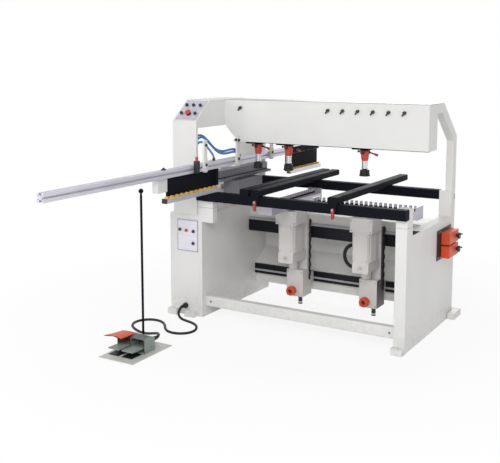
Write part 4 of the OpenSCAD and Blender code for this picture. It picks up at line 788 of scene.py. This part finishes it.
for number in ("1", "2", "3"):
    stop = "flip_stop_" + number
    low, high = span(stop)
    y = (low[1] + high[1]) / 2
    parts = [block((-472.7, y - 20, low[2]), (-456.7, y + 20, 1048), 2.4, axis=0, corner=11.9),
             block((-471.5, y - 17, 1020), (-458.5, y + 17, high[2]), 2.0, axis=0, corner=10.4)]
    knobs = [(y, 1010), (y, 1131)]
    if number == "2":
        parts.append(block((-470.5, y - 46, 1126), (-459.5, y + 8, 1146), 2.0, axis=0, corner=9))
        knobs.append((y - 36, 1136))
    piece("flip_stop_bar_" + number, parts, stop, enamel_white, stands_for=stop)
    grips = [dome((-458.6, ky, kz), X, 17.6, 6.0, 3.8) for ky, kz in knobs]
    piece("flip_stop_grips_" + number, grips, stop, black_moulding)
fence_clip = [block((-507, -935, 1016.5), (-483, -911, 1023), 2.0),
              dome((-495, -923, 1022), Z, 15, 6.0, 4.0)]
# Painted shade: a thin black sheet over the fence's rear run darkens the aluminium where it lies in shadow
# behind the beam.
piece("fence_rear_shade_sheet", block((-472.9, 560, 971), (-469.6, 1062, 1017), 0.8), "frame", enamel_black)
piece("fence_clip", fence_clip, "frame", black_moulding)


# Heads and chucks

def chuck(length):
    """Profile of one chuck: a body with a groove and a chamfered rim, and the drill's bore."""
    return [(0, length - 25), (5, length - 25), (5, length - 0.8), (5.8, length), (8.3, length),
            (9, length - 0.7), (9, length - 6), (8.6, length - 6.6), (8.6, length - 7.6), (9, length - 8.2),
            (9, 10.6), (9, 1), (8, 0), (0, 0)]


chuck_step = 32.0
chuck_count = 21
collar_r = 11.0
screw_foot_r = 8.4
screw_height = 16.0
chuck_rows = [("1", "chucks_1", "head_1", Z, Y, X), ("2", "chucks_2", "head_2", Z, X, -Y),
              ("3", "horizontal_chucks", "horizontal_unit", X, Y, None)]
for number, node, body, axis, way, screw_way in chuck_rows:
    low, high = span(node)
    length = (high - low) @ axis
    middle = (low + high) / 2
    first = middle + ((low - middle) @ way + collar_r) * way - length / 2 * axis
    step = chuck_step * way
    piece("chuck_row_" + number, row(turned(chuck(length), first, axis, 24), step, chuck_count), body,
          chuck_steel, stands_for=node)
    collar = ring(first + 0.2 * axis, axis, 2 * collar_r, 16.8, 10.8, 0.6, 24)
    piece("chuck_collars_" + number, row(collar, step, chuck_count), body, enamel_black)
    if screw_way is not None:
        screw = pin(first + screw_foot_r * screw_way + screw_height * axis, screw_way, 5, 0.9, 0.2, 12)
        piece("chuck_screws_" + number, row(screw, step, chuck_count), body, zinc_screw)


# Vertical units

for unit in ("1", "2"):
    body = "column_" + unit
    low, high = span(body)
    x = (low[0] + high[0]) / 2
    fin = block((-4, -2, 410), (4, 2, 584), 1.2)
    fin_y = np.arange(9) * 11.0 - 78.0
    left_y = fin_y if unit == "1" else fin_y[np.abs(fin_y - conduit_y) > 20.0]
    fin_x = 57.5
    fin_places = [(x + fin_x, y, 0) for y in fin_y] + [(x - fin_x, y, 0) for y in left_y]
    piece("motor_fins_" + unit, repeated(fin, fin_places), body, enamel_casting)
    lid = block((x - 47, -99.5, 412), (x + 47, -95, 582), 1.8, axis=1, corner=10)
    piece("motor_lid_" + unit, lid, body, enamel_casting)
    screws = screw_grid((x - 40, x + 40), [-99.5], (420, 574), -Y, 6.5, 1.5)
    screws += screw_grid((x - 64, x + 64), [low[1]], (604, 668), -Y, 9, 2.0)
    piece("column_screws_" + unit, screws, body, zinc_screw)
    boss_foot = (x, -97, 369)
    piece("bracket_boss_" + unit, ring(boss_foot, -Y, 46, 30, 3.2, 1.0), body, enamel_casting)
    piece("bracket_bolt_" + unit, cap_screw(boss_foot, -Y, 20, 9.0), body, zinc_screw)

    knob = "depth_knob_" + unit
    knob_low, _ = span(knob)
    knob_foot = np.array([x - 17.0, knob_low[1], 125.0])
    grip = turned([(0, 42), (6, 42), (6, 36), (29.4, 36), (30.8, 34.6), (31, 32), (31, 25), (29.6, 23.6),
                   (29.6, 21.4), (31, 20), (31, 4), (30.2, 1.4), (28.2, 0), (16, 0), (14.4, 0.8), (14, 2.4),
                   (14, 8), (0, 8)], knob_foot, Y, 80, 16, 0.025)
    piece("depth_grip_" + unit, grip, knob, moulded_orange, stands_for=knob)
    piece("depth_hub_" + unit, dome(knob_foot + 8.4 * Y, -Y, 27.4, 2.4, 2.0), knob, black_moulding)

    saddle = "saddle_" + unit
    t = np.linspace(0.0, 1.0, 121)
    edge_line = np.stack([x + 65.0 + 2.6 * np.sin(t * 14 * math.pi), np.full(len(t), 126.0),
                          600.0 - 410.0 * t], axis=-1)
    folds = 7.0 + 0.8 * np.cos(t * 80 * math.pi)
    piece("saddle_bellows_" + unit, hose(edge_line, folds, Y, 16), saddle, black_rubber, sharp=60.0)
    fit_x, fit_y = x + 30.0, 61.0
    fitting = [hex_nut((fit_x, fit_y, 79), Z, 31, 8), ring((fit_x, fit_y, 55), Z, 29, 24, 9),
               ring((fit_x, fit_y, 34.6), Z, 28, 20, 7)]
    piece("saddle_fitting_" + unit, fitting, saddle, black_moulding)
    piece("saddle_fitting_band_" + unit, ring((fit_x, fit_y, 44), Z, 27.4, 24, 6), saddle, bright_steel)
    collars = [ring((x - 25, 65, 309), Z, 59.6, 26, 11.4, 1.2),
               ring((x - 25, 65, 267), Z, 59.8, 54, 7, 1.2)]
    piece("lift_collar_" + unit, collars, saddle, enamel_casting)
    screws = screw_grid((x - 50, x + 50), [35], (100, 252), -Y, 9, 2.5)
    screws += screw_grid((x - 53, x + 53), [95], (300, 500), -Y, 8, 3.5)
    piece("saddle_screws_" + unit, screws, saddle, zinc_screw)


# Clamps

barrel_z, drum_z, hub_z, tail_z, lever_z = 985, 1035, 1089, 1090, 1097
for number in ("1", "2", "3"):
    body, foot = "clamp_body_" + number, "clamp_foot_" + number
    low, high = span(foot)
    x, y = (low[:2] + high[:2]) / 2
    strips = ((-35, 35, 1103, 1108.6), (-35, -20.4, 1105, 1116), (20.4, 35, 1105, 1116))
    jaws = [block((x - 75, y + y0, z0), (x + 39, y + y1, z1), 1.5) for y0, y1, z0, z1 in strips]
    piece("clamp_carriage_" + number, jaws, body, enamel_black, stands_for=body)
    drum = turned([(0, 0), (19.0, 0), (20.2, 1.2), (20.8, 8), (22.4, 9.4), (24.8, 30), (26.4, 44),
                   (28, 46), (28, 58), (26.6, 60.4), (26.6, 62), (24, 66), (18, 68.5), (0, 68.5)],
                  (x, y, drum_z), Z, 40)
    ears = [block((x + s * 25 - 5, y - 10, 1076), (x + s * 25 + 5, y + 10, 1102), 3) for s in (-1, 1)]
    piece("clamp_yoke_" + number, [drum, *ears], body, enamel_red)
    hub = [dome((x, y - 26, hub_z), -Y, 24, 5.5, 3.0), pin((x + 27, y, hub_z), X, 17, 6, 1.0)]
    piece("clamp_hub_" + number, hub, body, black_moulding)
    tail = turned([(0, 26), (4.2, 26), (4.2, 36), (6.4, 38), (7.6, 43), (6.4, 48), (3, 50), (0, 50)],
                  (x, y, tail_z), -X, 20)
    piece("clamp_tail_" + number, tail, body, grip_red)
    barrel = turned([(0, 0), (18.6, 0), (20, 1.4), (20, 8), (18.4, 9), (18.4, 41), (20, 42), (20, 49.5),
                     (0, 50.5)], (x, y, barrel_z), Z, 40)
    piece("clamp_barrel_" + number, barrel, body, bright_steel)
    droop = math.radians(17)
    way = np.array([math.cos(droop), 0.0, -math.sin(droop)])
    pivot = (x, y, lever_z)
    lever = turned([(0, 24), (5.5, 24), (5.5, 30), (4.2, 34), (4.2, 60), (5.0, 66), (0, 66)], pivot, way,
                   20)
    piece("clamp_lever_" + number, lever, body, enamel_black)
    grip = turned([(0, 62), (5.0, 62), (6.6, 64), (7.0, 70), (8.0, 80), (7.8, 86), (5.6, 89.4), (0, 90)],
                  pivot, way, 24)
    piece("clamp_grip_" + number, grip, body, grip_red)
    pad = turned([(0, 0), (31, 0), (33, 2), (33, 9), (31.6, 11), (30, 12), (29, 36), (27, 39), (17, 40),
                  (14, 43), (12, 44.6), (0, 44.8)], (x, y, low[2]), Z, 40)
    piece("clamp_pad_" + number, pad, foot, black_rubber, stands_for=foot)
    piece("clamp_rod_" + number, pin((x, y, low[2] + 44), Z, 17.6, 96, 0.8), foot, bright_steel)


# Table arms' locks

rail_bolt_z = 796
for number in ("1", "2"):
    body = "arm_lock_" + number
    low, high = span(body)
    x = (low[0] + high[0]) / 2
    lever = block((x - 9, low[1], low[2]), (x + 9, low[1] + 14, high[2]), 2.6, axis=1, corner=8.9)
    piece("lock_lever_" + number, lever, body, grip_red, stands_for=body)
    bolt = [hex_nut((x, low[1] - 3.5, rail_bolt_z), Y, 13, 4.5),
            pin((x, low[1] + 13, rail_bolt_z), Y, 9.6, 13, 0.5)]
    piece("lock_bolt_" + number, bolt, body, zinc_screw)


# Controls

panel_foot = np.array([-679.5, -447.0, 1266.0])
panel_up = np.array([0.0, 0.78513, 0.61934])
panel_out = np.array([0.0, -0.61934, 0.78513])


def on_panel(across, up, out):
    """Point of the slanted panel: across it, up it from its lower edge and out of it."""
    return panel_foot + across * X + up * panel_up + out * panel_out


stop_up = 61.5
panel_places = [(-52.5, 139.4), (0.0, 139.4), (52.5, 139.4), (-52.5, stop_up), (52.5, stop_up)]
buttons = [dome(on_panel(u, s, 6.0), panel_out, 20, 11.5, 5.4) for u, s in panel_places]
bezels = [ring(on_panel(u, s, 2.5), panel_out, 24, 18, 5.0, 0.8) for u, s in panel_places]
lower_places = [(-728.7, 562.7), (-624.6, 558.6), (-627.0, 479.9), (-679.4, 560.6)]
*lower_buttons, red_button = [dome((x, -440.5, z), -Y, 20, 5.0, 4.2) for x, z in lower_places]
buttons += lower_buttons
bezels += [ring((x, -437.6, z), -Y, 24, 18, 4.2, 0.8) for x, z in lower_places]
valve_z = 1340
valve_x = [-471.0] + [159.0 + 99.0 * i for i in range(6)]
valve_tail = spun(block((-3.6, -125.6, 1317), (3.6, -111, 1342), 2.0), (0, 0, valve_z), Y, 35.0)
valve_grip = turned([(0, 3.5), (9, 3.5), (9, 16.8), (7.6, 19.4), (0, 20)], (0, -106, valve_z), -Y,
                    60, 12, 0.05)
valve = joined(ring((0, -105.6, valve_z), -Y, 21, 12, 4.4, 1.2), valve_tail, valve_grip)
buttons.append(repeated(valve, [(x, 0, 0) for x in valve_x]))
piece("control_buttons", buttons, "frame", black_moulding, stands_for="control_knobs")
piece("control_bezels", bezels, "frame", zinc_screw)
piece("lower_red_button", red_button, "frame", moulded_red)
mushroom = turned([(0, -12), (9, -12), (9, 18), (11, 20), (17, 20.4), (19.4, 21.4), (20, 23.6),
                   (19.4, 26.4), (16.6, 29.4), (11, 31.4), (0, 32)], on_panel(0, stop_up, 0), panel_out, 40)
piece("stop_mushroom", mushroom, "emergency_stop", moulded_red, stands_for="emergency_stop")
piece("stop_collar", ring(on_panel(0, stop_up, 2.5), panel_out, 31, 19.4, 4.5, 0.8), "frame",
      black_moulding)
plate_screws = screw_grid((-746, -597), [-438], (429, 626), -Y, 6, 1.6)
plate_screws += [cap_screw(on_panel(u, s, 3.0), panel_out, 6, 1.6) for u in (-71, 71) for s in (18, 187)]
piece("plate_screws", plate_screws, "frame", zinc_screw)

crank_x, crank_y = 861.0, 309.0
crank_levels = [("1", 557.0), ("2", 473.0)]
for number, z in crank_levels:
    body = "counter_crank_" + number
    foot = np.array([crank_x, crank_y, z])
    disc = turned([(0, -25), (5, -25), (5, 0.3), (10, 0.3), (10, 9), (11, 10.3), (18.6, 10.3), (20, 11.8),
                   (20, 20.8), (18.6, 22.3), (14, 22.3), (13, 21.3), (0, 21.3)], foot, X, 64, 16, 0.03)
    handle = turned([(0, 20), (4.5, 20), (3.9, 24), (4.5, 36), (3.4, 38.2), (0, 38.3)], foot + 12 * Z, X,
                    20)
    piece("crank_wheel_" + number, [disc, handle], body, black_moulding, stands_for=body)
lids = [block((859.8, 171, z - 31), (862.0, 343, z + 31), 0.9, axis=0, corner=6) for _, z in crank_levels]
piece("counter_lids", lids, "frame", moulded_orange)
counter_screws = screw_grid([811], (102, 150), (444, 601), X, 7, 1.5)
piece("counter_screws", counter_screws, "frame", zinc_screw)


# Foot pedal

pedal_half = 39.0
pedal_tilt = -2.0
axle_y, axle_z = -1120, 34
for name in ("pedal_left", "pedal_right"):
    low, high = span(name)
    x = (low[0] + high[0]) / 2
    left, right, front = x - pedal_half, x + pedal_half, low[1] + 1.0
    plate = block((left, front, 30), (right, -1122, 38), 2.0)
    treads = row(block((left + 6, front + 8, 37), (right - 6, front + 12, 39.4), 0.9), (0, 12, 0), 8)
    boss = pin((low[0] + 2, axle_y, axle_z), X, 15.6, high[0] - low[0] - 4, 0.8)
    shape = spun(joined(plate, treads, boss), (x, axle_y, axle_z), X, pedal_tilt)
    piece(name + "_plate", shape, name, hammer_green, stands_for=name)
    pad = block((left + 2, -1283, 3.8), (right - 2, -1192, 6.2), 1.0)
    piece(name + "_pad", pad, "frame", black_rubber)


def hood_shape(x0, x1):
    """Hood as a sheet z(y) + rise (1 - v^2) over its length u and width v, closed by its underside.
    Towards the front its edges fall, and the left one flares out."""
    back, front, bend_at = -1090.0, -1268.6, 47.5
    rise, thick, flare, fall = 3.4, 3.4, 26.0, 5.0
    u = np.linspace(0.0, 1.0, 25)[:, None]
    v = np.linspace(-1.0, 1.0, 17)[None, :]
    y = back + u * (front - back)
    line = np.interp(u, [0.0, bend_at / (back - front), 1.0], [80.0, 100.0, 108.0])
    x = (x0 + x1) / 2 + v * (x1 - x0) / 2 - flare * u ** 2 * np.clip(-v, 0.0, 1.0)
    crown = rise * (1 - v ** 2) - fall * np.abs(v) ** 6 * u
    top = np.stack(np.broadcast_arrays(x, y, line + crown), axis=-1)
    loop = np.concatenate([top, (top - thick * Z)[:, ::-1]], axis=1)
    ends = [np.broadcast_to(loop[i].mean(0), loop[i].shape)[None] for i in (0, -1)]
    rings = np.concatenate([ends[0], loop, ends[1]])
    return rings.reshape(-1, 3), grid_quads(len(rings), rings.shape[1], True)


low, high = span("pedal_hood")
piece("pedal_hood_shell", hood_shape(low[0], high[0]), "frame", moulded_orange,
      stands_for="pedal_hood")
rod_foot = np.array([-535, -1084.7, 0])
sleeve = turned([(0, 86), (6.2, 86), (7.6, 88), (7.6, 98), (6.8, 100), (6.8, 880), (6.2, 896), (5.2, 901),
                 (0, 901)], rod_foot, Z, 20)
piece("pedal_rod_sleeve", [hex_nut(rod_foot + 4 * Z, Z, 9, 7), sleeve], "frame", enamel_black)
glands = [hex_nut((-690, -435, 62), -Y, 34, 6), hex_nut((-471, -1090, 60), Y, 25, 9),
          ring((-471, -1070, 60), Y, 26, 20, 8)]
piece("gland_nuts", glands, "frame", black_moulding)


# Fastenings and seams

bolts = screw_grid((752, 790), [-465], [rail_bolt_z], -Y, 9, 3.0)
bolts += screw_grid((-520, 700), [-400], [101], -Y, 12, 4.0)
bolts += screw_grid((-560, 700), [421], [rail_bolt_z], Y, 9, 3.0)
piece("rail_bolts", bolts, "frame", enamel_black)
# Painted shade: a thin black sheet on the right cabinet's top stands in for the shaded inside of its open
# slot.
piece("stand_slot_shade", block((748, -336, 664.4), (799, -200, 665.6), 0.5, corner=6), "frame", enamel_black)
piece("bracket_infill", block((-592.6, -434.8, 667), (-561.4, -384, 765.6), 1.0), "frame", stand_paint)
cover_low, _ = span("left_covers")
cover_screws = screw_grid([cover_low[0]], (-415, -140, 140, 415), (24, 345, 644), -X, 8, 2.5)
portal_places = [(-437, 700), (-437, 960), (-437, 1220), (-270, 1310), (-100, 1372), (100, 1372),
                 (260, 1250), (415, 1140), (415, 900), (415, 700), (365, 900), (365, 700)]
cover_screws += [cap_screw((-770, y, z), -X, 8, 2.5) for y, z in portal_places]
piece("cover_screws", cover_screws, "frame", zinc_screw)
beam_screws = screw_grid((-560, -220, 120, 460, 780), [42], (1370, 1240), Y, 8, 2.5)
piece("beam_screws", beam_screws, "frame", zinc_screw)

low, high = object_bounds()
